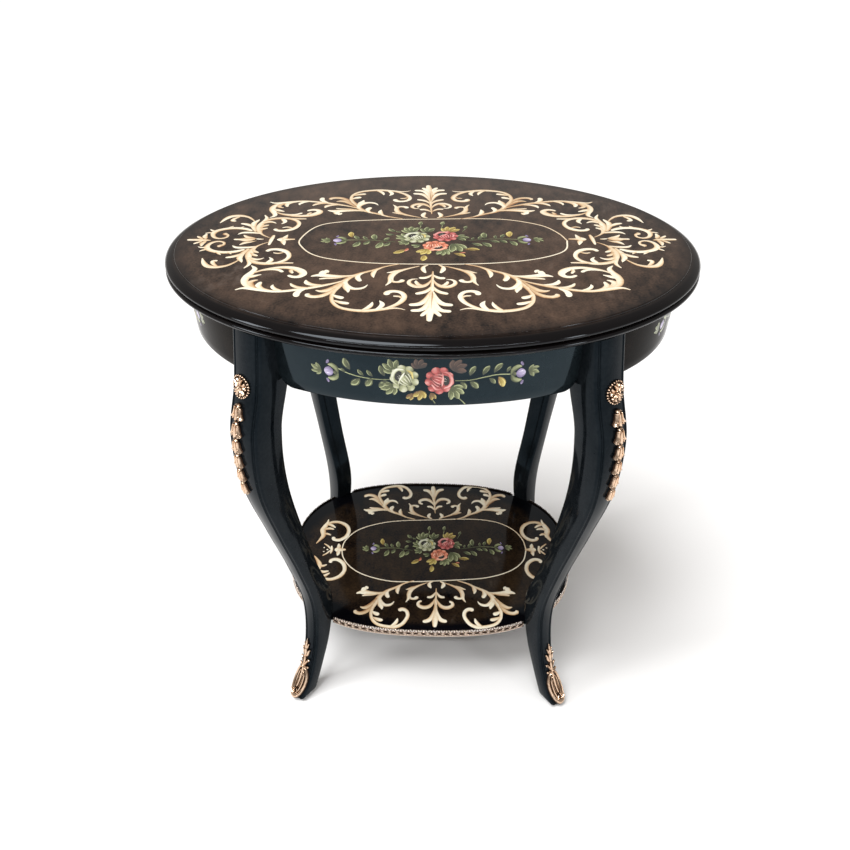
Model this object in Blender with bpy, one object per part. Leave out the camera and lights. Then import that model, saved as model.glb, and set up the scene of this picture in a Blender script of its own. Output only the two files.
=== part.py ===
"""Oval two-tier side table, modelled piece by piece.

Metres, +Z up. The origin is on the floor under the middle of the table,
+X runs along the oval's long axis and the front of the table faces -Y.
"""
import bmesh
import bpy
from math import cos, hypot, pi, radians, sin
from mathutils import Vector

# Overall size
TABLE_HEIGHT = 0.650
TOP_HALF_LENGTH = 0.330
TOP_HALF_WIDTH = 0.255
TOP_THICKNESS = 0.022
GAP = 0.0003

# Frame under the top
APRON_HALF_LENGTH = 0.308
APRON_HALF_WIDTH = 0.235
APRON_HEIGHT = 0.072
APRON_THICKNESS = 0.016
APRON_TAPER = 0.005
APRON_CORNER_RADIUS = 0.018

# Legs: the middle of a leg's front face, the way it faces, and its shape
LEG_ANCHOR = (0.1999, 0.2011)
LEG_ANGLE = radians(53.3)
# (height, how far the front face stands out from the anchor, depth of the leg)
LEG_SHAPE = (
    (0.000, -0.004, 0.031),
    (0.040, -0.032, 0.022),
    (0.100, -0.049, 0.028),
    (0.170, -0.052, 0.034),
    (0.250, -0.033, 0.029),
    (0.330, -0.008, 0.034),
    (0.420, 0.017, 0.041),
    (0.500, 0.0195, 0.042),
    (0.560, 0.004, 0.044),
    (0.628, -0.006, 0.047),
)
# (height, width of the front face)
LEG_WIDTHS = ((0.000, 0.024), (0.120, 0.026), (0.350, 0.034), (0.490, 0.045), (0.628, 0.045))
LEG_CHAMFER = 0.0025
# How far the middle of the front face swells out, as a part of its width
LEG_CROWN = 0.09
LEG_FRONT = (-0.9, -0.6, -0.3, 0.0, 0.3, 0.6, 0.9)
# (height, number of sections up to it): close together where the leg curves most
LEG_SPANS = ((0.100, 14), (0.400, 12), (0.580, 14), (0.628, 2))

# Shelf between the legs
SHELF_HEIGHT = 0.125
SHELF_THICKNESS = 0.010
SHELF_HALF_LENGTH = 0.216
SHELF_HALF_WIDTH = 0.167
SHELF_FULLNESS = 2.6
TRIM_BASE = 0.1145
TRIM_TOP = 0.1275
TRIM_THICKNESS = 0.0025

# Bronze mounts on the legs
MOUNT_GAP = 0.0005
# The mounts sit a little outboard of the middle of the face
MOUNT_SHIFT = -0.004
ROSETTE_HEIGHT = 0.562
ROSETTE_RADIUS = 0.0145
ROSETTE_THICKNESS = 0.006
HUSK_COUNT = 6
HUSK_TOP = 0.545
HUSK_BOTTOM = 0.420
HUSK_HALF_WIDTH = 0.0085
HUSK_NARROWING = 0.0007
HUSK_THICKNESS = 0.0055
SABOT_BASE = 0.0065
SABOT_TIP = 0.098
# Each row is the part of the way up the shoe, the half width there and the thickness
SABOT_OUTLINE = (
    (0.0, 0.0125, 0.0055), (0.12, 0.0135, 0.007), (0.25, 0.013, 0.006), (0.38, 0.011, 0.005),
    (0.5, 0.008, 0.004), (0.65, 0.0065, 0.004), (0.8, 0.0045, 0.003), (0.92, 0.0028, 0.0022),
    (1.0, 0.0008, 0.001))

# Fixings and feet
GLIDE_RADIUS = 0.009
GLIDE_HEIGHT = 0.004
BLOCK_WIDTH = 0.050
BLOCK_DEPTH = 0.032
BLOCK_HEIGHT = 0.045
BOLT_RADIUS = 0.003
BOLT_REACH = 0.025
BOLT_HEAD_RADIUS = 0.0055
BOLT_HEAD_HEIGHT = 0.005
# How far down the block the bolt goes in, and how far back from the leg the screw does
BOLT_DROP = 0.62
SCREW_SETBACK = 0.55
SCREW_ACROSS = 0.0105
SCREW_RADIUS = 0.002
SCREW_REACH = 0.014
SCREW_HEAD_RADIUS = 0.0038
SCREW_HEAD_HEIGHT = 0.0028
DOWEL_RADIUS = 0.003
DOWEL_REACH = 0.015
HOLE_CLEARANCE = 0.0004

TOP_UNDERSIDE = TABLE_HEIGHT - TOP_THICKNESS
CORNERS = {
    "front_left": (-1, -1),
    "front_right": (1, -1),
    "back_left": (-1, 1),
    "back_right": (1, 1),
}
OUTWARD = Vector((cos(LEG_ANGLE), sin(LEG_ANGLE)))
SIDEWAYS = Vector((-sin(LEG_ANGLE), cos(LEG_ANGLE)))


# ---------------------------------------------------------------- materials

def material(name, colour, roughness, metallic=0.0):
    """A Principled material for one piece."""
    made = bpy.data.materials.new(name)
    made.use_nodes = True
    shader = made.node_tree.nodes["Principled BSDF"]
    shader.inputs["Base Color"].default_value = (*colour, 1.0)
    shader.inputs["Roughness"].default_value = roughness
    shader.inputs["Metallic"].default_value = metallic
    made.diffuse_color = (*colour, 1.0)
    return made


def lacquer(piece):
    return material(f"{piece}_lacquer", (0.018, 0.014, 0.012), 0.12)


def bronze(piece):
    return material(f"{piece}_bronze", (0.62, 0.44, 0.22), 0.35, 1.0)


def steel(piece):
    return material(f"{piece}_steel", (0.55, 0.55, 0.56), 0.35, 1.0)


def plain_wood(piece):
    return material(f"{piece}_wood", (0.52, 0.36, 0.20), 0.6)


# ------------------------------------------------------------- mesh helpers

def add_piece(name, mesh_data, paint, smooth_angle=35.0):
    """Turn a bmesh into a named object with its faces pointing out."""
    bmesh.ops.recalc_face_normals(mesh_data, faces=mesh_data.faces)
    mesh = bpy.data.meshes.new(name)
    mesh_data.to_mesh(mesh)
    mesh_data.free()
    mesh.shade_smooth()
    mesh.set_sharp_from_angle(angle=radians(smooth_angle))
    piece = bpy.data.objects.new(name, mesh)
    bpy.context.collection.objects.link(piece)
    if paint:
        mesh.materials.append(paint)
    return piece


def loft(rings):
    """A closed solid through a row of rings, with a flat cap at each end."""
    solid = bmesh.new()
    rows = [[solid.verts.new(point) for point in ring] for ring in rings]
    count = len(rows[0])
    for below, above in zip(rows, rows[1:]):
        for i in range(count):
            j = (i + 1) % count
            solid.faces.new((below[i], below[j], above[j], above[i]))
    solid.faces.new(reversed(rows[0]))
    solid.faces.new(rows[-1])
    return solid


def round_bar(start, end, radii, sides=12):
    """A turned bar from start to end; radii are (place along it 0..1, radius)."""
    axis = (end - start).normalized()
    across = axis.orthogonal().normalized()
    other = axis.cross(across)
    rings = []
    for place, radius in radii:
        middle = start.lerp(end, place)
        turns = [2 * pi * i / sides for i in range(sides)]
        rings.append([middle + radius * (across * cos(t) + other * sin(t)) for t in turns])
    return loft(rings)


def cutter(name, solid):
    """A solid that only cuts others; it isn't part of the table."""
    shape = add_piece(name, solid, None)
    shape.hide_render = True
    shape.display_type = "WIRE"
    return shape


def cut(piece, tool):
    bore = piece.modifiers.new(tool.name, "BOOLEAN")
    bore.operation = "DIFFERENCE"
    bore.object = tool


# ------------------------------------------------------------ table outlines

def oval(half_length, half_width, angle, offset=0.0):
    """A point of an ellipse, moved out along its normal by offset."""
    point = Vector((half_length * cos(angle), half_width * sin(angle)))
    normal = Vector((point.x / half_length**2, point.y / half_width**2)).normalized()
    return point + offset * normal


def shelf_outline(angle, offset=0.0):
    """A point of the shelf's edge, an oval with fuller corners than an ellipse."""
    def stretched(value):
        return abs(value) ** (2 / SHELF_FULLNESS) * (1 if value >= 0 else -1)

    def pull(value, half):
        return abs(value / half) ** (SHELF_FULLNESS - 1) / half * (1 if value >= 0 else -1)

    x = SHELF_HALF_LENGTH * stretched(cos(angle))
    y = SHELF_HALF_WIDTH * stretched(sin(angle))
    normal = Vector((pull(x, SHELF_HALF_LENGTH), pull(y, SHELF_HALF_WIDTH))).normalized()
    return Vector((x, y)) + offset * normal


def angle_at_leg(outline, across):
    """The angle in the first quadrant at which an outline is across from a leg's middle."""
    low, high = 0.0, pi / 2
    for _ in range(40):
        middle = (low + high) / 2
        away = (outline(middle) - Vector(LEG_ANCHOR)).dot(SIDEWAYS)
        low, high = (middle, high) if away < across else (low, middle)
    return low


def runs_between_legs(outline, across):
    """Start and end angle of the four runs that an outline makes between the legs."""
    side_end = angle_at_leg(outline, -across)
    front_start = angle_at_leg(outline, across)
    return {
        "right": (-side_end, side_end),
        "back": (front_start, pi - front_start),
        "left": (pi - side_end, pi + side_end),
        "front": (pi + front_start, 2 * pi - front_start),
    }


# ------------------------------------------------------------------ leg form

def straight_between(table, height):
    """The width in a (height, width) table, on straight lines between its rows."""
    for (low, first), (high, second) in zip(table, table[1:]):
        if height <= high:
            return first + (second - first) * max(0.0, height - low) / (high - low)
    return table[-1][1]


def leg_form(height):
    """Front face offset and depth of a leg, on smooth curves through LEG_SHAPE."""
    height = min(max(height, LEG_SHAPE[0][0]), LEG_SHAPE[-1][0])
    span = next(i for i in range(len(LEG_SHAPE) - 1) if height <= LEG_SHAPE[i + 1][0])
    before, low, high, after = (
        LEG_SHAPE[max(0, span - 1)], LEG_SHAPE[span],
        LEG_SHAPE[span + 1], LEG_SHAPE[min(len(LEG_SHAPE) - 1, span + 2)])
    step = high[0] - low[0]
    t = (height - low[0]) / step
    values = []
    for column in (1, 2):
        slope_low = (high[column] - before[column]) / (high[0] - before[0]) * step
        slope_high = (after[column] - low[column]) / (after[0] - low[0]) * step
        values.append(
            (2 * t**3 - 3 * t**2 + 1) * low[column] + (t**3 - 2 * t**2 + t) * slope_low
            + (3 * t**2 - 2 * t**3) * high[column] + (t**3 - t**2) * slope_high)
    return values


def at_leg(corner, out, across, height):
    """A point out and across from a leg's anchor, for the leg at that corner."""
    flat = Vector(LEG_ANCHOR) + out * OUTWARD + across * SIDEWAYS
    return Vector((corner[0] * flat.x, corner[1] * flat.y, height))


def crown(height, across):
    """How far a leg's front face swells out at a place across it."""
    width = straight_between(LEG_WIDTHS, height)
    return LEG_CROWN * width * (1 - (2 * across / width) ** 2)


def on_face(corner, height, across, lift):
    """A point lifted off a leg's front face, square to the face."""
    step = 0.002
    slope = (leg_form(height + step)[0] - leg_form(height - step)[0]) / (2 * step)
    length = hypot(1.0, slope)
    out = leg_form(height)[0] + crown(height, across) + lift / length
    return at_leg(corner, out, across, height - lift * slope / length)


# --------------------------------------------------------------- the pieces

def leg_levels():
    """The heights of a leg's sections, from its foot to just under the top."""
    levels = [GLIDE_HEIGHT]
    for end, count in LEG_SPANS:
        start = levels[-1]
        levels += [start + (end - start) * (i + 1) / count for i in range(count)]
    levels[-1] = TOP_UNDERSIDE - GAP
    return levels


def make_leg(name, corner):
    """A cabriole leg, from its foot to the underside of the top."""
    rings = []
    for height in leg_levels():
        face, depth = leg_form(height)
        half = straight_between(LEG_WIDTHS, height) / 2
        edge = LEG_CHAMFER
        front = [(face + crown(height, place * half), place * half) for place in LEG_FRONT]
        section = (
            *front, (face - edge, half),
            (face - depth + edge, half), (face - depth, half - edge),
            (face - depth, -half + edge), (face - depth + edge, -half), (face - edge, -half))
        rings.append([at_leg(corner, out, across, height) for out, across in section])
    return add_piece(name, loft(rings), lacquer(name))


def make_top_board():
    """The oval top with a step, a rounded nose, a cove and a lower bead on its edge."""
    edge = (
        (-0.013, 0.0), (-0.012, -0.002), (-0.008, -0.003), (-0.003, -0.0055), (-0.0005, -0.009),
        (-0.002, -0.012), (-0.005, -0.0135), (-0.001, -0.0155), (0.0, -0.018),
        (-0.002, -0.0205), (-0.006, -TOP_THICKNESS))
    segments = 96
    rings = []
    for inset, drop in edge:
        outline = [oval(TOP_HALF_LENGTH, TOP_HALF_WIDTH, 2 * pi * i / segments, inset)
                   for i in range(segments)]
        rings.append([Vector((point.x, point.y, TABLE_HEIGHT + drop)) for point in outline])
    return add_piece("top_board", loft(rings), lacquer("top_board"))


def make_apron(side):
    """A curved apron board between two legs, with rounded lower corners at its ends."""
    across = LEG_WIDTHS[-1][1] / 2 + GAP
    top = TOP_UNDERSIDE - GAP
    segments = 28

    def curve(inset):
        def outline(angle):
            return oval(APRON_HALF_LENGTH, APRON_HALF_WIDTH, angle, -inset)
        start, end = runs_between_legs(outline, across)[side]
        return [outline(start + (end - start) * i / segments) for i in range(segments + 1)]

    outer_top = curve(0.0)
    outer_bottom = curve(APRON_TAPER)
    inner_bottom = curve(APRON_TAPER + APRON_THICKNESS)
    inner_top = curve(APRON_THICKNESS)
    length = sum((b - a).length for a, b in zip(outer_top, outer_top[1:]))
    rings = []
    for i in range(segments + 1):
        from_end = min(i, segments - i) / segments * length
        miss = max(0.0, APRON_CORNER_RADIUS - from_end)
        bottom = TOP_UNDERSIDE - APRON_HEIGHT
        bottom += APRON_CORNER_RADIUS - (APRON_CORNER_RADIUS**2 - miss**2) ** 0.5
        rings.append([
            Vector((*outer_top[i], top)), Vector((*outer_bottom[i], bottom)),
            Vector((*inner_bottom[i], bottom)), Vector((*inner_top[i], top))])
    name = f"apron_{side}"
    return add_piece(name, loft(rings), lacquer(name))


def make_shelf():
    """The shelf board, notched at its corners for the legs."""
    segments = 96
    outline = [shelf_outline(2 * pi * i / segments) for i in range(segments)]
    rings = [[Vector((*point, height)) for point in outline]
             for height in (SHELF_HEIGHT - SHELF_THICKNESS, SHELF_HEIGHT)]
    shelf = add_piece("shelf_board", loft(rings), lacquer("shelf_board"))
    reach = 0.05
    for where, corner in CORNERS.items():
        inner = shelf_notch_depth()
        half = straight_between(LEG_WIDTHS, SHELF_HEIGHT) / 2 + GAP
        plan = ((inner, -half), (inner, half), (inner + reach, half), (inner + reach, -half))
        notch = loft([[at_leg(corner, out, across, height) for out, across in plan]
                      for height in (SHELF_HEIGHT - reach, SHELF_HEIGHT + reach)])
        cut(shelf, cutter(f"notch_{where}", notch))
    return shelf


def shelf_notch_depth():
    """How far in from the leg's anchor the shelf is cut back, just clear of the leg."""
    levels = (SHELF_HEIGHT - SHELF_THICKNESS, SHELF_HEIGHT - SHELF_THICKNESS / 2, SHELF_HEIGHT)
    return min(leg_form(level)[0] - leg_form(level)[1] for level in levels) - GAP


def make_trim(side):
    """The bronze edging on one side of the shelf, from leg to leg."""
    across = straight_between(LEG_WIDTHS, SHELF_HEIGHT) / 2 + 2 * GAP
    segments = 26

    def curve(offset):
        def outline(angle):
            return shelf_outline(angle, offset)
        start, end = runs_between_legs(outline, across)[side]
        return [outline(start + (end - start) * i / segments) for i in range(segments + 1)]

    inner = curve(GAP)
    outer = curve(GAP + TRIM_THICKNESS)
    rings = [[Vector((*outer[i], TRIM_BASE)), Vector((*outer[i], TRIM_TOP)),
              Vector((*inner[i], TRIM_TOP)), Vector((*inner[i], TRIM_BASE))]
             for i in range(segments + 1)]
    name = f"shelf_trim_{side}"
    return add_piece(name, loft(rings), bronze(name))


def make_rosette(where, corner):
    """A round domed flower on the knee, lying on the curved face."""
    sides = 16
    dome = ((0.25, 0.0), (0.65, 0.0), (1.0, 0.0), (1.0, 0.35), (0.8, 0.75), (0.45, 0.7), (0.3, 1.0))
    rings = []
    for spread, rise in dome:
        radius = ROSETTE_RADIUS * spread
        lift = MOUNT_GAP + ROSETTE_THICKNESS * rise
        rings.append([on_face(corner, ROSETTE_HEIGHT + radius * sin(2 * pi * i / sides),
                              MOUNT_SHIFT + radius * cos(2 * pi * i / sides), lift)
                      for i in range(sides)])
    name = f"rosette_{where}"
    return add_piece(name, loft(rings), bronze(name))


def half_round(corner, height, half_width, thickness, middle=0.0):
    """One section of a mount: its back follows the leg's face and its front is rounded."""
    bow = ((-1.0, 0.0), (-0.9, 0.45), (-0.45, 0.9), (0.0, 1.0), (0.45, 0.9), (0.9, 0.45),
           (1.0, 0.0), (0.5, 0.0), (0.0, 0.0), (-0.5, 0.0))
    return [on_face(corner, height, middle + half_width * side, MOUNT_GAP + thickness * rise)
            for side, rise in bow]


def make_husk_chain(where, corner):
    """A string of bell-shaped husks in one casting, smaller toward its lower end."""
    bell = ((0.0, 0.35), (0.35, 0.6), (0.7, 0.85), (0.97, 1.0))
    pitch = (HUSK_TOP - HUSK_BOTTOM) / HUSK_COUNT
    rings = []
    for husk in range(HUSK_COUNT):
        half_width = HUSK_HALF_WIDTH - HUSK_NARROWING * husk
        for place, spread in bell:
            height = HUSK_TOP - (husk + place) * pitch
            rings.append(half_round(
                corner, height, half_width * spread, HUSK_THICKNESS * spread, MOUNT_SHIFT))
    name = f"husk_chain_{where}"
    return add_piece(name, loft(rings), bronze(name))


def make_sabot(where, corner):
    """A bronze shoe on the front of the foot, rising to a leaf tip."""
    rings = [half_round(corner, SABOT_BASE + place * (SABOT_TIP - SABOT_BASE), half_width, thickness)
             for place, half_width, thickness in SABOT_OUTLINE]
    name = f"sabot_{where}"
    return add_piece(name, loft(rings), bronze(name))


def make_glide(where, corner):
    """A round glide under the foot, on which the table stands."""
    face, depth = leg_form(GLIDE_HEIGHT)
    middle = face - depth / 2
    start = at_leg(corner, middle, 0.0, 0.0)
    end = at_leg(corner, middle, 0.0, GLIDE_HEIGHT - GAP)
    rim = ((0.0, GLIDE_RADIUS * 0.85), (0.3, GLIDE_RADIUS), (1.0, GLIDE_RADIUS))
    name = f"glide_{where}"
    return add_piece(name, round_bar(start, end, rim, 20), steel(name))


def make_corner_block(where, corner):
    """A glue block behind the leg, bored for its bolt and for the screw up into the top."""
    near = block_face() - GAP
    half = BLOCK_WIDTH / 2
    narrow = half - BLOCK_DEPTH / 3
    plan = ((near, -half), (near, half), (near - BLOCK_DEPTH, narrow), (near - BLOCK_DEPTH, -narrow))
    top = TOP_UNDERSIDE - GAP
    rings = [[at_leg(corner, out, across, height) for out, across in plan]
             for height in (top - BLOCK_HEIGHT, top)]
    name = f"corner_block_{where}"
    return add_piece(name, loft(rings), plain_wood(name))


def block_face():
    """The innermost place of a leg's back over the height of its corner block."""
    levels = [TOP_UNDERSIDE - BLOCK_HEIGHT * i / 6 for i in range(7)]
    return min(leg_form(level)[0] - leg_form(level)[1] for level in levels)


def fit_corner_bolt(where, corner, block, leg):
    """A hex bolt through the block into the leg, in clearance holes."""
    height = TOP_UNDERSIDE - BLOCK_HEIGHT * BOLT_DROP
    near = block_face() - GAP
    back = near - BLOCK_DEPTH - GAP
    start = at_leg(corner, back - BOLT_HEAD_HEIGHT, 0.0, height)
    end = at_leg(corner, near + BOLT_REACH, 0.0, height)
    length = (end - start).length
    shoulder = BOLT_HEAD_HEIGHT / length
    steps = ((0.0, BOLT_HEAD_RADIUS), (shoulder, BOLT_HEAD_RADIUS), (shoulder, BOLT_RADIUS),
             (1.0, BOLT_RADIUS))
    name = f"corner_bolt_{where}"
    bolt = add_piece(name, round_bar(start, end, steps, 6), steel(name))
    hole_end = at_leg(corner, near + BOLT_REACH + 0.001, 0.0, height)
    radius = BOLT_RADIUS + HOLE_CLEARANCE
    hole = cutter(f"bolt_hole_{where}",
                  round_bar(at_leg(corner, back - 0.01, 0.0, height), hole_end,
                            ((0.0, radius), (1.0, radius)), 12))
    cut(block, hole)
    cut(leg, hole)
    return bolt


def fit_top_screw(where, corner, block, top_board):
    """A screw up through the block into the top."""
    out = block_face() - GAP - BLOCK_DEPTH * SCREW_SETBACK
    underside = TOP_UNDERSIDE - BLOCK_HEIGHT - 2 * GAP
    start = at_leg(corner, out, SCREW_ACROSS, underside - SCREW_HEAD_HEIGHT)
    end = at_leg(corner, out, SCREW_ACROSS, TOP_UNDERSIDE + SCREW_REACH)
    shoulder = SCREW_HEAD_HEIGHT / (end - start).length
    steps = ((0.0, SCREW_HEAD_RADIUS), (shoulder, SCREW_HEAD_RADIUS), (shoulder, SCREW_RADIUS),
             (1.0, SCREW_RADIUS))
    name = f"top_screw_{where}"
    screw = add_piece(name, round_bar(start, end, steps, 10), steel(name))
    radius = SCREW_RADIUS + HOLE_CLEARANCE
    hole = cutter(f"screw_hole_{where}",
                  round_bar(start - Vector((0, 0, 0.005)), end + Vector((0, 0, 0.001)),
                            ((0.0, radius), (1.0, radius)), 10))
    cut(block, hole)
    cut(top_board, hole)
    return screw


def fit_shelf_dowel(where, corner, shelf, leg):
    """A dowel from the shelf's corner into the back of the leg."""
    height = SHELF_HEIGHT - SHELF_THICKNESS / 2
    joint = shelf_notch_depth()
    start = at_leg(corner, joint - DOWEL_REACH, 0.0, height)
    end = at_leg(corner, joint + DOWEL_REACH, 0.0, height)
    steps = ((0.0, DOWEL_RADIUS * 0.8), (0.06, DOWEL_RADIUS), (0.94, DOWEL_RADIUS),
             (1.0, DOWEL_RADIUS * 0.8))
    name = f"shelf_dowel_{where}"
    dowel = add_piece(name, round_bar(start, end, steps, 10), plain_wood(name))
    radius = DOWEL_RADIUS + HOLE_CLEARANCE
    hole = cutter(f"dowel_hole_{where}",
                  round_bar(at_leg(corner, joint - DOWEL_REACH - 0.001, 0.0, height),
                            at_leg(corner, joint + DOWEL_REACH + 0.001, 0.0, height),
                            ((0.0, radius), (1.0, radius)), 10))
    cut(shelf, hole)
    cut(leg, hole)
    return dowel


def clear_scene():
    for thing in list(bpy.data.objects):
        bpy.data.objects.remove(thing, do_unlink=True)


clear_scene()
top_board = make_top_board()
shelf_board = make_shelf()
for board_side in ("front", "back", "left", "right"):
    make_apron(board_side)
    make_trim(board_side)
for corner_name, corner_signs in CORNERS.items():
    leg = make_leg(f"leg_{corner_name}", corner_signs)
    corner_block = make_corner_block(corner_name, corner_signs)
    fit_corner_bolt(corner_name, corner_signs, corner_block, leg)
    fit_top_screw(corner_name, corner_signs, corner_block, top_board)
    fit_shelf_dowel(corner_name, corner_signs, shelf_board, leg)
    make_rosette(corner_name, corner_signs)
    make_husk_chain(corner_name, corner_signs)
    make_sabot(corner_name, corner_signs)
    make_glide(corner_name, corner_signs)
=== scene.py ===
import bisect
import math
import random

import bpy
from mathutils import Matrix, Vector


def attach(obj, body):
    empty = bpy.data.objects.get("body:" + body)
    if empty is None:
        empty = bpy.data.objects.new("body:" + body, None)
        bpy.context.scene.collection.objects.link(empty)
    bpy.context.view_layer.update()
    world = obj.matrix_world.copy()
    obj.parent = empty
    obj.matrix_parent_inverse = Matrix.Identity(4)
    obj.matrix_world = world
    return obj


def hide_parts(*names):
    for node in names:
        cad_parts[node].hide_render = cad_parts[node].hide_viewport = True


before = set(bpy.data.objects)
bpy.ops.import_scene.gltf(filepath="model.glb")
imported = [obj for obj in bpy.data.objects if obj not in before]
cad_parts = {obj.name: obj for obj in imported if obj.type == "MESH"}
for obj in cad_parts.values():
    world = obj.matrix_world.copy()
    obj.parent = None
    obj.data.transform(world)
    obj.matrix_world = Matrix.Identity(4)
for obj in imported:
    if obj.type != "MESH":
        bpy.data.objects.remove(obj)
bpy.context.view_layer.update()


# The room: a seamless pale floor, a warm white surround, a broad overhead light, a lamp at each
# side and a long strip lamp in front. The camera stands before the table, looking down on its top.
CAMERA_PLACE = (0.0198, -1.0111, 1.0783)
CAMERA_TILT = math.radians(54.99)
CAMERA_TURN = math.radians(1.6)
LAMP_AIM = Vector((0, 0, 0.4))
bpy.ops.object.select_all(action="DESELECT")
bpy.ops.object.camera_add(location=CAMERA_PLACE, rotation=(CAMERA_TILT, 0, CAMERA_TURN))
camera = bpy.context.object
camera.name = "camera"
camera.data.sensor_width = 36
camera.data.lens = 36.48
bpy.context.scene.camera = camera

surround = bpy.data.worlds.new("surround")
surround.use_nodes = True
surround.node_tree.nodes["Background"].inputs["Color"].default_value = (1.0, 0.95, 0.90, 1)
surround.node_tree.nodes["Background"].inputs["Strength"].default_value = 0.40
bpy.context.scene.world = surround
bpy.context.scene.view_settings.view_transform = "Standard"

bpy.ops.object.light_add(type="SUN", rotation=(math.radians(12), math.radians(-16), 0))
lamp = bpy.context.object
lamp.name = "lamp_overhead"
lamp.data.energy = 2.6
lamp.data.angle = math.radians(34)
for lamp_name, lamp_place, lamp_size, lamp_power in (
        ("lamp_left", (-2.2, -0.9, 1.7), (0.5, 0.9), 16),
        ("lamp_right", (2.0, -1.7, 1.2), (0.3, 0.9), 9),
        ("lamp_strip", (0.0, -2.4, 2.9), (4.0, 0.04), 30)):
    bpy.ops.object.light_add(type="AREA", location=lamp_place)
    lamp = bpy.context.object
    lamp.name = lamp_name
    lamp.data.shape = "RECTANGLE"
    lamp.data.size, lamp.data.size_y = lamp_size
    lamp.data.energy = lamp_power
    aim = LAMP_AIM - Vector(lamp_place)
    lamp.rotation_euler = aim.to_track_quat("-Z", "Y").to_euler()


class Wire:
    """A socket in a material, so that sums written in Python become Math nodes."""

    def __init__(self, tree, socket=None):
        self.tree = tree
        self.socket = socket

    def make(self, kind, settings=None, sockets=None, out=0):
        """Adds one node: its settings first, then the values or links of its sockets."""
        node = self.tree.nodes.new(kind)
        for key, value in (settings or {}).items():
            if key == "stops":
                while len(node.color_ramp.elements) < len(value):
                    node.color_ramp.elements.new(1)
                for element, (position, colour) in zip(node.color_ramp.elements, value):
                    element.position = position
                    element.color = (*colour, 1)
            else:
                setattr(node, key, value)
        for key, value in (sockets or {}).items():
            if isinstance(value, Wire):
                self.tree.links.new(value.socket, node.inputs[key])
            else:
                node.inputs[key].default_value = value
        return Wire(self.tree, node.outputs[out])

    def math(self, operation, first, second=0.0):
        return self.make("ShaderNodeMath", {"operation": operation}, {0: first, 1: second})

    def __add__(self, other):
        return self.math("ADD", self, other)

    def __radd__(self, other):
        return self.math("ADD", other, self)

    def __sub__(self, other):
        return self.math("SUBTRACT", self, other)

    def __rsub__(self, other):
        return self.math("SUBTRACT", other, self)

    def __mul__(self, other):
        return self.math("MULTIPLY", self, other)

    def __rmul__(self, other):
        return self.math("MULTIPLY", other, self)

    def held(self):
        """The same number, kept between 0 and 1."""
        return self.make("ShaderNodeMath", {"operation": "MULTIPLY", "use_clamp": True}, {0: self, 1: 1.0})

    def between(self, first, second):
        """A colour part of the way from the first to the second."""
        return self.make("ShaderNodeMix", {"data_type": "RGBA"}, {0: self, 6: first, 7: second}, 2)

    def noise(self, scale, detail=3.0, stretch=(1, 1, 1)):
        """Cloudy variation fixed to the piece."""
        place = self.make("ShaderNodeTexCoord", out="Object")
        place = self.make("ShaderNodeMapping", {}, {"Vector": place, "Scale": stretch})
        return self.make("ShaderNodeTexNoise", {}, {"Vector": place, "Scale": scale, "Detail": detail})


def material(name, **values):
    """A material, and the wire that its nodes are made from; values set the shader's sockets."""
    made = bpy.data.materials.new(name)
    made.use_nodes = True
    shader = made.node_tree.nodes["Principled BSDF"]
    for key, value in values.items():
        shader.inputs[key.replace("_", " ")].default_value = value
    return made, Wire(made.node_tree)


def joined(made, **values):
    """Links wires to the shader's sockets."""
    shader = made.node_tree.nodes["Principled BSDF"]
    for key, value in values.items():
        made.node_tree.links.new(value.socket, shader.inputs[key.replace("_", " ")])
    return made


floor_paint, wire = material("floor_paint", Roughness=0.9, Specular_IOR_Level=0.1)
joined(floor_paint, Base_Color=wire.noise(0.7).between((0.90, 0.90, 0.90, 1), (0.94, 0.94, 0.94, 1)))
bpy.ops.mesh.primitive_plane_add(size=60, location=(0, 0, 0))
floor = bpy.context.object
floor.name = "floor"
floor.data.materials.append(floor_paint)


# The table top: one oval board with a moulded edge, a small step above a full round with a
# bead under it, filled, lacquered smoky brown-black, rubbed down and polished to a mirror. The
# smoky brown is partly the lacquer's own and partly painted reflection of the room.
TOP_FACE = 0.650
TOP_HALF = (0.330, 0.255)
BOARD_POINTS = 240
FINE_CLOUDS = 9
GRIT_CLOUDS = 40
FIELD_EDGE = 7.0
HAZE = (0.17, 0.16, 0.15, 1)


def lacquer(name, black, smoke_and_reflection, clouds, stretch, sheen, field=None):
    """Polished lacquer: a smoky colour mottled into a black ground, kept inside an oval field if there is
    one.

    The smoky colour is partly the lacquer's own and partly painted reflection of the room, and
    its fade to black at the field's edge is painted reflection too. The sheen is the reflection's
    colour, a painted tint standing in for the room's light, and the lacquer's index of refraction.
    """
    made, wire = material(name, IOR=sheen[3], Specular_IOR_Level=0.5, Specular_Tint=(*sheen[:3], 1))
    drift = wire.noise(clouds, 6.0, stretch)
    fine = wire.noise(clouds * FINE_CLOUDS, 4.0, stretch)
    grit = wire.noise(clouds * GRIT_CLOUDS, 2.0)
    depth = (drift * 1.5 + fine * 1.3 + grit * 0.9 - 1.35).held()
    if field:
        place = wire.make("ShaderNodeTexCoord", {}, {}, "Object")
        x = wire.make("ShaderNodeSeparateXYZ", {}, {0: place}) * (1 / field[0])
        y = wire.make("ShaderNodeSeparateXYZ", {}, {0: place}, 1) * (1 / field[1])
        # Painted reflection: the smoky colour fades to black over the field's outer rim and the moulding,
        # standing in for the darker reflection there.
        flat = ((1.0 - (x * x + y * y)) * FIELD_EDGE).held()
        depth = depth * flat
        haze = ((wire.noise(4.3, 4.0) + fine) * 3.0 - 3.5).held() * flat * 0.30
        ground = haze.between(depth.between(black, smoke_and_reflection), HAZE)
    else:
        ground = depth.between(black, smoke_and_reflection)
    ripple = wire.noise(38.0, 1.0)
    bump = wire.make("ShaderNodeBump", {}, {"Strength": 0.10, "Distance": 0.0004, "Height": ripple})
    return joined(
        made, Base_Color=ground, Roughness=fine * 0.12 + drift * 0.06 - 0.015, Normal=bump)


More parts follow.
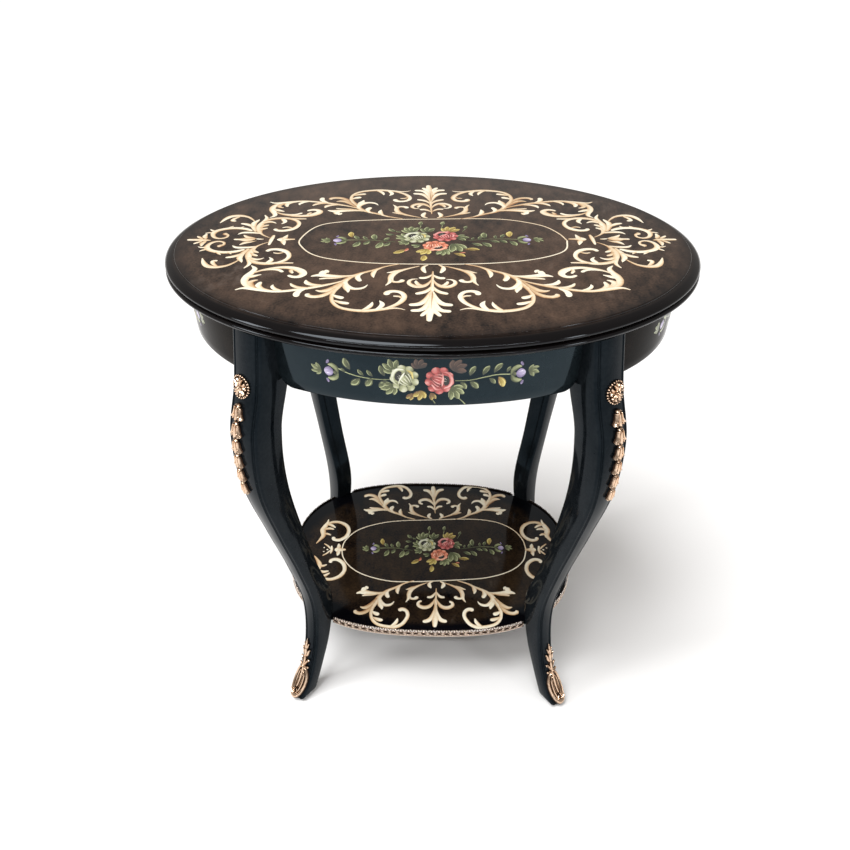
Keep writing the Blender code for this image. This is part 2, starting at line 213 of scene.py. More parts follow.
def finished(mesh, finishes, angle):
    """The piece for a mesh, with its finishes, faces turned outwards and edges smooth to an angle."""
    piece = bpy.data.objects.new(mesh.name, mesh)
    bpy.context.scene.collection.objects.link(piece)
    for finish in finishes:
        piece.data.materials.append(finish)
    bpy.ops.object.select_all(action="DESELECT")
    bpy.context.view_layer.objects.active = piece
    piece.select_set(True)
    bpy.ops.object.mode_set(mode="EDIT")
    bpy.ops.mesh.select_all(action="SELECT")
    bpy.ops.mesh.normals_make_consistent(inside=False)
    bpy.ops.object.mode_set(mode="OBJECT")
    bpy.ops.object.shade_smooth_by_angle(angle=math.radians(angle))
    return piece


def skin(name, rings, finish, angle):
    """A mesh laid over rings of points, with its two ends filled."""
    count = len(rings[0])
    corners = [point for ring in rings for point in ring]
    faces = []
    for low in range(0, len(corners) - count, count):
        for k in range(count):
            after = (k + 1) % count
            faces.append((low + k, low + after, low + count + after, low + count + k))
    faces.append(tuple(reversed(range(count))))
    faces.append(tuple(range(len(corners) - count, len(corners))))
    mesh = bpy.data.meshes.new(name)
    mesh.from_pydata(corners, [], faces)
    return finished(mesh, [finish], angle)


def smooth(points, pitch):
    """Points about a pitch apart on a smooth line through the given ones."""
    rows = [Vector(point) for point in points]
    rows = [rows[0] * 2 - rows[1]] + rows + [rows[-1] * 2 - rows[-2]]
    line = []
    for a, b, c, d in zip(rows, rows[1:], rows[2:], rows[3:]):
        steps = max(2, round((c - b).length / pitch))
        for k in range(steps):
            t = k / steps
            line.append(0.5 * (2 * b + (c - a) * t + (2 * a - 5 * b + 4 * c - d) * t * t
                               + (3 * b - a - 3 * c + d) * t * t * t))
    line.append(rows[-2])
    return line


def oval(half, turn, offset):
    """A point on an ellipse, moved out along its normal."""
    along, across = math.cos(turn), math.sin(turn)
    normal = Vector((along / half[0], across / half[1])).normalized()
    return Vector((half[0] * along, half[1] * across)) + normal * offset


# Painted reflection: the top's brown is partly the room reflected, its sheen is tinted bluish for the room's
# light, and the field fades to black towards the moulding.
top_lacquer = lacquer(
    "top_lacquer", (0.003, 0.002, 0.002, 1), (0.088, 0.052, 0.034, 1), 9.0, (1.0, 0.55, 1.0),
    (0.84, 0.92, 1.0, 1.33), (0.322, 0.247))
ovolo = smooth([(-0.0122, -0.0022), (-0.008, -0.003), (-0.003, -0.0055), (-0.0005, -0.009),
                (-0.002, -0.012), (-0.005, -0.0135)], 0.001)
under_bead = smooth([(-0.0045, -0.0138), (-0.001, -0.0155), (0, -0.018), (-0.002, -0.0205),
                     (-0.006, -0.022)], 0.001)
edge = [(-0.0140, 0), (-0.0131, -0.0001), (-0.0127, -0.0004), (-0.0125, -0.0010)]
edge += [tuple(step) for step in ovolo + under_bead]
rings = []
for inset, drop in edge:
    ring = [oval(TOP_HALF, math.tau * k / BOARD_POINTS, inset) for k in range(BOARD_POINTS)]
    rings.append([(point.x, point.y, TOP_FACE + drop) for point in ring])
top = skin("table_top", rings, top_lacquer, 50)
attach(top, "root")
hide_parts("top_board")


# The aprons: four curved boards under the top, one between each two legs, leaning in a
# little towards the bottom and rounded where they meet the legs, in black lacquer. Its blue is
# painted reflection of the room's cool light, and the two end aprons take a darker, browner
# copy of it, painted shade for the way the light falls on them.
LEG_ANCHOR = Vector((0.1999, 0.2011))
LEG_ANGLE = math.radians(53.3)
OUTWARD = Vector((math.cos(LEG_ANGLE), math.sin(LEG_ANGLE)))
SIDEWAYS = Vector((-math.sin(LEG_ANGLE), math.cos(LEG_ANGLE)))
APRON_HALF = (0.308, 0.235)
APRON_LOW = 0.556
APRON_HIGH = 0.6277
APRON_LEAN = 0.005
APRON_CORNER = 0.018
APRON_STATIONS = 120
BESIDE_LEG = 0.0229


def turn_beside_leg(place, across):
    """The angle in the first quarter where an outline passes a leg's side."""
    low, high = 0.0, math.pi / 2
    for _ in range(40):
        middle = (low + high) / 2
        if (place(middle) - LEG_ANCHOR).dot(SIDEWAYS) < across:
            low = middle
        else:
            high = middle
    return low


def apron_face(turn, height, lift):
    """A point on the outer face of the aprons, lifted off it by a little."""
    lean = -APRON_LEAN * (APRON_HIGH - height) / (APRON_HIGH - APRON_LOW)
    point = oval(APRON_HALF, turn, lean + lift)
    return Vector((point.x, point.y, height))


# Painted reflection: the apron lacquer's blue smoky colour and blue sheen tint stand in for the room's cool
# light.
apron_lacquer = lacquer(
    "apron_lacquer", (0.002, 0.003, 0.004, 1), (0.008, 0.012, 0.014, 1), 5.0, (1, 1, 1),
    (0.50, 0.80, 1.0, 1.35))
# Painted shade: the end aprons get a darker, browner, less reflective copy of the apron lacquer for the way
# the room's light falls on them.
shaded_end_lacquer = lacquer(
    "end_apron_shaded_lacquer", (0.002, 0.002, 0.002, 1), (0.012, 0.009, 0.007, 1), 5.0, (1, 1, 1),
    (1, 0.92, 0.85, 1.10))
side_limit = turn_beside_leg(lambda turn: oval(APRON_HALF, turn, 0), -BESIDE_LEG)
front_limit = turn_beside_leg(lambda turn: oval(APRON_HALF, turn, 0), BESIDE_LEG)
for side, first, last, finish in (
        ("right", -side_limit, side_limit, shaded_end_lacquer),
        ("back", front_limit, math.pi - front_limit, apron_lacquer),
        ("left", math.pi - side_limit, math.pi + side_limit, shaded_end_lacquer),
        ("front", math.pi + front_limit, math.tau - front_limit, apron_lacquer)):
    length = (apron_face(first, 0.6, 0) - apron_face((first + last) / 2, 0.6, 0)).length * 2
    rings = []
    for k in range(APRON_STATIONS + 1):
        part = 0.5 - 0.5 * math.cos(math.pi * k / APRON_STATIONS)
        turn = first + (last - first) * part
        from_end = min(part, 1 - part) * length
        rise = 0.0
        if from_end < APRON_CORNER:
            rise = APRON_CORNER - math.sqrt(APRON_CORNER ** 2 - (APRON_CORNER - from_end) ** 2)
        low = APRON_LOW + rise
        ring = [apron_face(turn, APRON_HIGH, 0)]
        ring += [apron_face(turn, APRON_HIGH + (low - APRON_HIGH) * s / 6, 0) for s in range(1, 6)]
        ring += [apron_face(turn, low + 0.0025, 0), apron_face(turn, low + 0.0008, -0.0006),
                 apron_face(turn, low, -0.0022), apron_face(turn, low, -0.0142),
                 apron_face(turn, low + 0.0015, -0.0158), apron_face(turn, APRON_HIGH, -0.0158)]
        rings.append(ring)
    apron = skin("apron_board_" + side, rings, finish, 35)
    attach(apron, "root")
    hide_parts("apron_" + side)


# The legs: four solid cabriole legs set cornerwise, swelling to a knee under the apron and
# sweeping in and out again to the foot, each with a bead run down both edges of its face.
CORNERS = {"front_left": (-1, -1), "front_right": (1, -1), "back_left": (-1, 1), "back_right": (1, 1)}
LEG_SHAPE = ((0, -0.004, 0.031), (0.040, -0.032, 0.022), (0.100, -0.049, 0.028), (0.170, -0.052, 0.034),
             (0.250, -0.033, 0.029), (0.330, -0.008, 0.034), (0.420, 0.017, 0.041),
             (0.500, 0.0195, 0.042), (0.560, 0.004, 0.044), (0.628, -0.006, 0.047))
LEG_WIDTHS = ((0, 0.024), (0.120, 0.026), (0.350, 0.034), (0.490, 0.045), (0.628, 0.045))
LEG_EDGE = ((0.0, 0.0026), (0.0003, 0.0016), (0.0009, 0.0007), (0.0018, 0.0001), (0.0028, 0.0001),
            (0.0036, 0.0009), (0.0041, 0.0017), (0.0046, 0.0010), (0.0053, 0.0004), (0.0060, 0.0009),
            (0.0064, 0.0014), (0.0072, 0.0))
LEG_CROWN = 0.09
LEG_TOP = 0.6277


def leg_form(height):
    """How far out a leg's face stands at a height, and how deep the leg is behind it."""
    height = min(max(height, LEG_SHAPE[0][0]), LEG_SHAPE[-1][0])
    span = next(k for k in range(len(LEG_SHAPE) - 1) if height <= LEG_SHAPE[k + 1][0])
    before, low, high, after = (
        LEG_SHAPE[max(0, span - 1)], LEG_SHAPE[span],
        LEG_SHAPE[span + 1], LEG_SHAPE[min(len(LEG_SHAPE) - 1, span + 2)])
    step = high[0] - low[0]
    t = (height - low[0]) / step
    values = []
    for column in (1, 2):
        slope_low = (high[column] - before[column]) / (high[0] - before[0]) * step
        slope_high = (after[column] - low[column]) / (after[0] - low[0]) * step
        values.append(
            (2 * t**3 - 3 * t**2 + 1) * low[column] + (t**3 - 2 * t**2 + t) * slope_low
            + (3 * t**2 - 2 * t**3) * high[column] + (t**3 - t**2) * slope_high)
    return values


def leg_width(height):
    """The width of a leg's face at a height."""
    for low, high in zip(LEG_WIDTHS, LEG_WIDTHS[1:]):
        if height <= high[0]:
            return low[1] + (high[1] - low[1]) * (height - low[0]) / (high[0] - low[0])
    return LEG_WIDTHS[-1][1]


def at_leg(corner, out, across, height):
    """A point out and across from a leg's anchor, for the leg at that corner."""
    flat = LEG_ANCHOR + out * OUTWARD + across * SIDEWAYS
    return Vector((corner[0] * flat.x, corner[1] * flat.y, height))


def crown(height, across):
    """How far a leg's face swells out at a place across it."""
    width = leg_width(height)
    return LEG_CROWN * width * (1 - (2 * across / width) ** 2)


def on_face(corner, height, across, lift):
    """A point lifted off a leg's face, square to the face."""
    slope = (leg_form(height + 0.002)[0] - leg_form(height - 0.002)[0]) / 0.004
    length = math.hypot(1.0, slope)
    out = leg_form(height)[0] + crown(height, across) + lift / length
    return at_leg(corner, out, across, height - lift * slope / length)


# Painted reflection: the legs' blue smoky colour and blue sheen tint stand in for the room's cool light
# reflected in their black lacquer.
leg_lacquer = lacquer(
    "leg_lacquer", (0.002, 0.003, 0.004, 1), (0.010, 0.012, 0.014, 1), 6.0, (1, 1, 0.5),
    (0.48, 0.76, 1.0, 1.18))
for corner_name, corner in CORNERS.items():
    rings = []
    levels = [0.0040, 0.0048, 0.0065, 0.0090] + [0.012 + 0.6137 * k / 130 for k in range(130)]
    levels.append(LEG_TOP)
    for height in levels:
        shrink = max(0.0, 0.0090 - height) ** 2 / 0.0000125
        width = leg_width(height) - shrink * 0.004
        face, depth = leg_form(height)
        ring = []
        for inset, drop in LEG_EDGE:
            ring.append((width / 2 - inset, face + crown(height, width / 2 - inset) - drop))
        centre = width / 2 - LEG_EDGE[-1][0]
        ring += [(centre * s, face + crown(height, centre * s)) for s in (0.7, 0.35, 0)]
        ring += [(-across, out) for across, out in reversed(ring[:-1])]
        back = face - depth + shrink * 0.002
        ring += [(-width / 2, (face + back) / 2), (-width / 2, back + 0.003),
                 (-width / 2 + 0.0007, back + 0.0010), (-width / 2 + 0.003, back), (0, back - 0.0004),
                 (width / 2 - 0.003, back), (width / 2 - 0.0007, back + 0.0010),
                 (width / 2, back + 0.003), (width / 2, (face + back) / 2)]
        rings.append([at_leg(corner, out - shrink * 0.002, across, height) for across, out in ring])
    leg = skin("leg_post_" + corner_name, rings, leg_lacquer, 50)
    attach(leg, "root")
    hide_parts("leg_" + corner_name)


# The lower shelf: a thin full-cornered oval board between the legs, lacquered like the top
# but with a bluer painted sheen, its edge hidden behind a strip of gilt edging.
SHELF_FACE = 0.125
SHELF_HALF = (0.216, 0.167)
SHELF_FULLNESS = 2.6


def shelf_outline(turn, offset):
    """A point on the shelf's full-cornered oval, moved out along its normal."""
    along, across = math.cos(turn), math.sin(turn)
    power = 2 / SHELF_FULLNESS
    x = SHELF_HALF[0] * math.copysign(abs(along) ** power, along)
    y = SHELF_HALF[1] * math.copysign(abs(across) ** power, across)
    normal = Vector((math.copysign(abs(along) ** (2 - power), along) / SHELF_HALF[0],
                     math.copysign(abs(across) ** (2 - power), across) / SHELF_HALF[1])).normalized()
    return Vector((x, y)) + normal * offset


def shelf_turns(count):
    """Angles that walk round the shelf in even steps."""
    fine = [math.tau * k / 14400 for k in range(14401)]
    walked = [0.0]
    for before, after in zip(fine, fine[1:]):
        walked.append(walked[-1] + (shelf_outline(after, 0) - shelf_outline(before, 0)).length)
    turns, k = [], 0
    for n in range(count):
        while walked[k] < walked[-1] * n / count:
            k += 1
        turns.append(fine[k])
    return turns


# Painted reflection: the brown in the middle stands in for the top's underside reflected in the shelf, fading
# to black towards the edge, and the sheen is tinted bluer for the room's light.
shelf_lacquer = lacquer(
    "shelf_lacquer", (0.002, 0.002, 0.003, 1), (0.040, 0.024, 0.012, 1), 7.0, (1.0, 0.6, 1.0),
    (0.66, 0.84, 1.0, 1.34), (0.212, 0.158))
rings = []
for inset, drop in ((-0.0022, 0), (-0.0014, 0.0002), (-0.0009, 0.0009), (-0.0009, 0.0091),
                    (-0.0014, 0.0098), (-0.0024, 0.0100)):
    ring = [shelf_outline(turn, inset) for turn in shelf_turns(BOARD_POINTS)]
    rings.append([(point.x, point.y, SHELF_FACE - drop) for point in ring])
shelf = skin("lower_shelf", rings, shelf_lacquer, 40)
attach(shelf, "root")
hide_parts("shelf_board")


# The shelf edging: thin stamped gilt brass strip in four lengths between the legs, an open
# ring and a small shell over and over, with a plain rail above and below, pinned to the edge.
BRONZE_PATINA_AND_SHADE = (0.050, 0.028, 0.018, 1)


def gilt_bronze(name, bright, polish):
    """Gilding rubbed bright on the high parts, with brown patina left in the hollows; the brown there
    is also painted shade, and the brightness on each raised stroke's crown a painted highlight.
    """
    made, wire = material(name, Metallic=1.0, Specular_IOR_Level=0.5)
    height = wire.make("ShaderNodeAttribute", {"attribute_name": "relief"}, {}, 2)
    grime = wire.noise(420.0, 2.0)
    # Rubbing and painted light together: the higher a place stands on its stroke the brighter it is, and the
    # low parts go to patina and painted shade.
    wear_and_light = (height * 1.9 + grime * 1.1 - 1.15).held()
    tarnish = wire.noise(60.0, 2.0)
    colour = wear_and_light.between(BRONZE_PATINA_AND_SHADE, tarnish.between(bright, (0.80, 0.64, 0.50, 1)))
    bump = wire.make("ShaderNodeBump", {}, {"Strength": 0.25, "Distance": 0.0003, "Height": grime})
    return joined(made, Base_Color=colour, Roughness=(polish + 0.30) - wear_and_light * 0.26, Normal=bump)


def widened(row, distances, start, end):
    """A stroke's width at a distance along it, drawn in to a half round at both ends."""
    width = row[2]
    for gone, radius in ((distances - start, width / 2), (end - distances, width / 2)):
        if gone < radius:
            width = min(width, 2 * math.sqrt(max(0.0, radius ** 2 - (radius - gone) ** 2)))
    return width


def stroke_stations(points, pitch):
    """Places along a stroke, each with its width and heading and how far along it is."""
    line = smooth(points, pitch)
    walked = [0.0]
    for before, after in zip(line, line[1:]):
        walked.append(walked[-1] + (after.xy - before.xy).length)
    whole = walked[-1]
    wanted = set(walked)
    for row, sign, base in ((line[0], 1, 0.0), (line[-1], -1, whole)):
        if row[2] > 0.8:
            wanted |= {base + sign * min(row[2] / 2 * s, whole / 2) for s in (0.0, 0.04, 0.2, 0.5)}
    stations, k = [], 0
    for distance in sorted(wanted):
        while k < len(walked) - 2 and walked[k + 1] < distance:
            k += 1
        part = (distance - walked[k]) / max(walked[k + 1] - walked[k], 1e-9)
        row = line[k].lerp(line[k + 1], min(max(part, 0), 1))
        row.z = max(row.z, 0.0)
        heading = (line[min(k + 2, len(line) - 1)].xy - line[max(k - 1, 0)].xy).normalized()
        if stations and (row.xy - stations[-1][0].xy).length < 0.01:
            continue
        stations.append((row, widened(row, distance, 0.0, whole), heading, distance / whole))
    return stations


def strokes_piece(name, strokes, surface, finishes, attribute):
    """One mesh of raised strokes laid on a surface.

    A stroke is its points (along, up and width, in millimetres), the number of its finish, its
    rise, how far its base is lifted, and its tone. The corners keep a note for the finish.
    """
    corners, faces, slots, notes = [], [], [], []
    for number, (points, finish, rise, base, tone) in enumerate(strokes):
        start = len(corners)
        stations = stroke_stations(points, 2.2)
        for row, width, heading, part in stations:
            side = Vector((-heading.y, heading.x)) * max(width, 0.02) / 2
            height = rise * min(1.0, width / 2.0)
            for across, up in ((-1, 0.0), (-0.62, 0.72), (0, 1.0), (0.62, 0.72), (1, 0.0)):
                place = row.xy + side * across
                corners.append(surface(place.x, place.y, base + height * up))
                # For gilding the note is how high the corner stands on its stroke, times twice its tone; the
                # finish makes the crowns a painted highlight and the feet patina and painted shade.
                notes.append((part, across, tone) if attribute == "brush" else up * tone * 2)
            corners.append(surface(row.x, row.y, base - 0.02))
            notes.append((part, 0.0, tone) if attribute == "brush" else 0.0)
        last = len(stations) - 1
        for k in range(last):
            for n in range(6):
                here, there = start + k * 6, start + k * 6 + 6
                faces.append((here + n, here + (n + 1) % 6, there + (n + 1) % 6, there + n))
        faces.append(tuple(start + n for n in (5, 4, 3, 2, 1, 0)))
        faces.append(tuple(start + last * 6 + n for n in range(6)))
        slots += [finish] * (last * 6 + 2)
    mesh = bpy.data.meshes.new(name)
    mesh.from_pydata(corners, [], faces)
    mesh.polygons.foreach_set("material_index", slots)
    if attribute == "brush":
        mesh.attributes.new("brush", "FLOAT_VECTOR", "POINT").data.foreach_set(
            "vector", [number for note in notes for number in note])
    else:
        mesh.attributes.new("relief", "FLOAT", "POINT").data.foreach_set("value", notes)
    piece = finished(mesh, finishes, 60)
    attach(piece, "root")
    return piece


trim_bronze = gilt_bronze("edging_gilding", (0.48, 0.39, 0.34, 1), 0.14)
# Painted reflection: a silvery finish for the upward-facing parts of the edging, standing in for the sky they
# reflect.
sky_reflection_bronze = gilt_bronze("edging_painted_sky_reflection", (0.78, 0.77, 0.77, 1), 0.16)
EDGE_PLACES = 2400
EDGING_LOW = 0.1145
all_turns = shelf_turns(EDGE_PLACES)
outline = [shelf_outline(turn, 0) for turn in all_turns]


def clear_of_legs(point, room):
    """Whether a place on the shelf's edge is outside every leg."""
    beside = (Vector((abs(point.x), abs(point.y))) - LEG_ANCHOR).dot(SIDEWAYS)
    return abs(beside) > leg_width(0.120) / 2 + room


def run_of_edge(side):
    """The numbered places of the shelf's edge that one length of edging covers."""
    runs, run = [], []
    for k in range(-EDGE_PLACES // 2, EDGE_PLACES):
        if clear_of_legs(outline[k % EDGE_PLACES], 0.0007):
            run.append(k)
        elif run:
            runs.append(run)
            run = []
    middle = ("right", "back", "left", "front").index(side) * EDGE_PLACES // 4
    return next(run for run in runs if run[0] <= middle <= run[-1])


for side in ("front", "back", "left", "right"):
    run = run_of_edge(side)
    walked = [0.0]
    for before, after in zip(run, run[1:]):
        step = outline[after % EDGE_PLACES] - outline[before % EDGE_PLACES]
        walked.append(walked[-1] + step.length * 1000)

    def on_edge(along, up, lift):
        """A place along this length of edging, up from its lower rim, lifted off the board."""
        k = min(max(bisect.bisect_right(walked, along) - 1, 0), len(walked) - 2)
        part = (along - walked[k]) / (walked[k + 1] - walked[k])
        first, second = (
            shelf_outline(all_turns[place % EDGE_PLACES], 0.0001 + lift / 1000) for place in run[k:k + 2])
        point = first.lerp(second, min(max(part, 0.0), 1.0))
        return Vector((point.x, point.y, EDGING_LOW + up / 1000))

    whole = walked[-1]
    units = round(whole / 11.2)
    pitch = whole / units
    strokes = []
    # Finish 1, the silvery painted reflection, goes on the upper rail and the shells' upper parts. The plate
    # behind the pattern is laid at tone nought and comes out fully dark through the open rings: patina and
    # painted shade.
    for up, width, finish, rise, base, tone in (
            (6.2, 12.4, 0, 0.25, 0.0, 0.0), (1.2, 2.4, 0, 1.3, 0.1, 0.5), (10.0, 1.2, 1, 0.9, 0.1, 0.5)):
        rail = [(along, up, width) for along in (0.1, whole / 2, whole - 0.1)]
        strokes.append((rail, finish, rise, base, tone))
    for unit in range(units):
        middle = (unit + 0.5) * pitch
        start = unit * pitch
        shapes = [(middle, sign, ((0, 2.6, 1.7), (3.8, 4.0, 1.8), (4.0, 7.2, 1.8), (0, 8.9, 1.9)), 0, 1.5)
                  for sign in (-1, 1)]
        shapes.append((middle, 1, ((0, 8.8, 2.4), (0, 11.2, 3.0), (0, 13.4, 2.4)), 1, 1.7))
        if unit:
            shapes.append((start, 1, ((0, 1.6, 1.6), (0, 6.0, 2.6), (0, 9.6, 1.6)), 0, 1.7))
            shapes += [(start, sign, ((0, 8.4, 1.6), (1.6, 11.2, 2.6), (2.9, 13.3, 2.2)), 1, 1.4)
                       for sign in (-1, 1)]
        for place, sign, points, finish, rise in shapes:
            row = [(place + sign * along, up, width) for along, up, width in points]
            strokes.append((row, finish, rise, 0.2, 0.5))
    edging = strokes_piece("shelf_edging_" + side, strokes, on_edge, [trim_bronze, sky_reflection_bronze], "relief")
    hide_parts("shelf_trim_" + side)


# The leg mounts: cast and gilt bronze, pinned down the middle of each leg's face. A beaded
# rosette and a drop of six bell flowers at the knee, and a shell-toed shoe with leaves above it.
MOUNT_SHIFT = -4.0
ROSETTE_MIDDLE = 562
HUSKS_TOP = 542
HUSK_PITCH = 20.7
mount_bronze = gilt_bronze("mount_gilding", (0.70, 0.46, 0.30, 1), 0.12)


def ring_strokes(radius, count, size, rise, base):
    """Beads set round the rosette's middle."""
    beads = []
    for k in range(count):
        turn = math.tau * k / count
        u, v = radius * math.cos(turn), ROSETTE_MIDDLE + radius * math.sin(turn)
        beads.append(([(u - size / 2, v, size), (u, v, size), (u + size / 2, v, size)], 0, rise, base, 0.5))
    return beads


def both_sides(shapes):
    """Raised strokes given on one side of a face's middle, laid on the left and then the right."""
    laid = []
    for sign in (-1, 1):
        for points, rise, base in shapes:
            laid.append(([(sign * x, y, width) for x, y, width in points], 0, rise, base, 0.5))
    return laid


# The rosette's flat ground is laid at tone nought and comes out fully dark between the petals: patina and
# painted shade.
rosette_strokes = [([(x, ROSETTE_MIDDLE, 27.0) for x in (-13, 0, 13)], 0, 0.9, 0.0, 0.0)]
rosette_strokes += ring_strokes(13.0, 24, 2.5, 2.0, 0.7)
for k in range(5):
    turn = math.tau * (k + 0.75) / 5
    out = Vector((math.cos(turn), math.sin(turn)))
    side = Vector((-out.y, out.x))
    for sign in (-1, 1):
        belly = out * 6.4 + side * sign * 2.9
        tip = out * 10.4 + side * sign * 2.4
        lobe = [(out.x * 2.2, ROSETTE_MIDDLE + out.y * 2.2, 1.6),
                (belly.x, ROSETTE_MIDDLE + belly.y, 5.0), (tip.x, ROSETTE_MIDDLE + tip.y, 3.2)]
        rosette_strokes.append((lobe, 0, 4.0, 0.6, 0.5))
    between = Vector((math.cos(turn + 0.628), math.sin(turn + 0.628)))
    sepal = [(between.x * reach, ROSETTE_MIDDLE + between.y * reach, width)
             for reach, width in ((6, 1.4), (11.4, 2.6))]
    rosette_strokes.append((sepal, 0, 3.0, 0.6, 0.5))
rosette_strokes += ring_strokes(2.6, 6, 2.1, 2.4, 2.8)
rosette_strokes += ring_strokes(0.0, 1, 3.6, 3.0, 3.2)

husk_strokes = []
for k in range(6):
    high = HUSKS_TOP - k * HUSK_PITCH
    size = 1.10 - 0.070 * k
    low = high - 20.0
    cap = [(-3.4 * size, high - 2.2, 3.2 * size), (0, high - 1.4, 3.8 * size),
           (3.4 * size, high - 2.2, 3.2 * size)]
    husk_strokes += [
        (cap, 0, 4.4, 0.5, 0.5),
        ([(0, high - 2.6, 9.4 * size), (0, high - 7, 10.4 * size), (0, low + 8.5, 12.6 * size),
          (0, low + 5, 13.8 * size)], 0, 4.2, 0.0, 0.32),
        ([(0, high - 4, 3.2 * size), (0, low + 8, 4.8 * size), (0, low + 1.0, 6.0 * size)], 0, 5.4, 0.6, 0.5)]
    husk_strokes += both_sides((
        (((3.4 * size, high - 3.4, 2.8 * size), (4.4 * size, low + 9, 3.8 * size),
          (6.2 * size, low + 5, 4.6 * size), (8.6 * size, low + 3.0, 4.0 * size)), 4.8, 0.5),
        (((3.0 * size, low + 7, 2.4), (5.0 * size, low + 1.6, 3.6 * size)), 4.4, 0.6)))

# The shoe's flat ground and stem are laid at low tone and come out dark between the leaves: patina and
# painted shade.
sabot_strokes = [
    ([(0, 7.5, 17), (0, 14, 22), (0, 27, 23.5), (0, 40, 19), (0, 48, 12)], 0, 0.8, 0.0, 0.0),
    ([(0, 48, 5), (0, 60, 6), (0, 72, 5.4), (0, 90, 3)], 0, 0.9, 0.0, 0.1),
    ([(0, 50, 4.8), (0, 36, 4.4), (0, 26, 4.0), (0, 19, 3.0)], 0, 3.8, 0.4, 0.5),
    ([(0, 48, 3.4), (0, 60, 5.2), (0, 67, 3.2)], 0, 3.2, 0.5, 0.5),
    ([(0, 66, 3.0), (0, 75, 6.4), (0, 82, 3.4)], 0, 3.4, 0.5, 0.5),
    ([(0, 80, 2.8), (0, 86, 5.0), (0, 91, 2.4)], 0, 3.2, 0.5, 0.5),
    ([(-8.6, 13.5, 5.0), (-4, 9.2, 6.4), (3, 8.6, 6.8), (8.6, 12.5, 5.4)], 0, 4.2, 0.8, 0.5),
    ([(0, 88, 3.2), (0, 93, 3.4), (0, 98, 0.4)], 0, 2.6, 0.4, 0.5)]
sabot_strokes += both_sides((
    (((2.6, 48.5, 4.0), (7.6, 43, 4.6), (10.6, 32, 5.0), (10.4, 20, 5.2), (6.6, 11, 5.6), (1.4, 8.2, 3.0)),
     3.4, 0.3),
    (((2.2, 43, 2.4), (5.0, 38, 2.8), (6.0, 29, 3.0), (5.6, 20, 3.2), (3.6, 13.5, 3.0), (0.8, 10.8, 2.4)),
     3.0, 0.4),
    (((2.6, 37, 1.2), (3.6, 30, 2.0), (3.2, 23, 1.8), (1.8, 18, 1.2)), 2.4, 0.4),
    (((0.4, 50.4, 4.0), (5.8, 50.2, 4.0), (9.4, 52.0, 5.0)), 3.4, 0.5),
    (((1.4, 53, 3.4), (3.6, 58, 4.2), (6.6, 62.6, 3.8), (9.0, 62.2, 4.6)), 3.2, 0.5),
    (((1.2, 67, 3.0), (4.0, 72, 4.8), (5.2, 78, 3.8), (7.4, 81, 3.2)), 3.0, 0.5),
    (((1.0, 80, 2.0), (2.6, 84, 3.0), (3.2, 88, 2.4), (4.6, 90.6, 1.8)), 2.8, 0.5),
    (((1.2, 17, 1.6), (4.4, 13.0, 2.2), (7.2, 9.4, 2.6)), 3.4, 1.0)))

for corner_name, corner in CORNERS.items():
    def on_leg(across, height, lift):
        """A place on this leg's face, in millimetres from its middle and from the floor."""
        return on_face(corner, height / 1000, (across + MOUNT_SHIFT) / 1000, 0.0006 + lift / 1000)

    for piece_name, node, strokes in (
            ("knee_rosette_", "rosette_", rosette_strokes), ("bell_flowers_", "husk_chain_", husk_strokes),
            ("foot_shoe_", "sabot_", sabot_strokes)):
        mount = strokes_piece(piece_name + corner_name, strokes, on_leg, [mount_bronze], "relief")
        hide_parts(node + corner_name)


# The joinery that hardly shows: glue blocks, bolts and screws behind the aprons, dowels into
# the shelf, and turned steel glides under the feet.
bare_beech, wire = material("bare_beech", Roughness=0.62)
grain = wire.noise(22.0, 4.0, (1, 1, 9))
joined(bare_beech, Base_Color=grain.between((0.30, 0.19, 0.10, 1), (0.46, 0.31, 0.18, 1)))
brushed_steel, wire = material("brushed_steel", Metallic=1.0)
brushing = wire.noise(300.0, 2.0, (1, 1, 0.1))
joined(brushed_steel, Base_Color=brushing.between((0.42, 0.42, 0.43, 1), (0.62, 0.62, 0.62, 1)),
       Roughness=0.28 + brushing * 0.2)
for node_name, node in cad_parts.items():
    wooden = node_name.startswith(("corner_block_", "shelf_dowel_"))
    if wooden or node_name.startswith(("corner_bolt_", "top_screw_", "glide_")):
        node.data.materials.clear()
        node.data.materials.append(bare_beech if wooden else brushed_steel)


# The painting on the top: a flattened oval line round a flower spray, with leaf scrolls outside
# it, brushed freehand in ivory oil over peach. The scheme is one quarter repeated four ways.
PAINT_TURN = math.radians(1.5)
BACK_SQUEEZE = (12.2, 0.894)
END_TURN = math.radians(1.7)
END_LIFT = 4.0
PALMETTE_MIDDLE = 3.0


def paint(name, shade, body, light):
    """Brushed oil colour: thin and warm at a stroke's tail, loaded and pale at its head."""
    made, wire = material(name, Coat_Weight=0.7, Coat_Roughness=0.08, Specular_IOR_Level=0.3)
    brush = wire.make("ShaderNodeAttribute", {"attribute_name": "brush"}, {}, 1)
    along = wire.make("ShaderNodeSeparateXYZ", {}, {0: brush})
    across, tone = (Wire(wire.tree, along.socket.node.outputs[k]) for k in (1, 2))
    mottle = wire.noise(260.0, 2.0)
    load = tone + along * 0.46 - across * across * 0.34 + across * 0.20 + mottle * 0.34 - 0.30
    stops = ((0.0, shade), (0.40, body), (0.86, light))
    colour = wire.make("ShaderNodeValToRGB", {"stops": stops}, {0: load})
    hairs = wire.noise(900.0, 1.0)
    bump = wire.make("ShaderNodeBump", {}, {"Strength": 0.2, "Distance": 0.0002, "Height": hairs})
    return joined(made, Base_Color=colour, Roughness=0.30 + mottle * 0.2, Normal=bump)


def turned(x, y, angle, lift=0.0):
    """A place turned about the middle of the board, then lifted along it."""
    return (x * math.cos(angle) - y * math.sin(angle),
            x * math.sin(angle) + y * math.cos(angle) + lift)


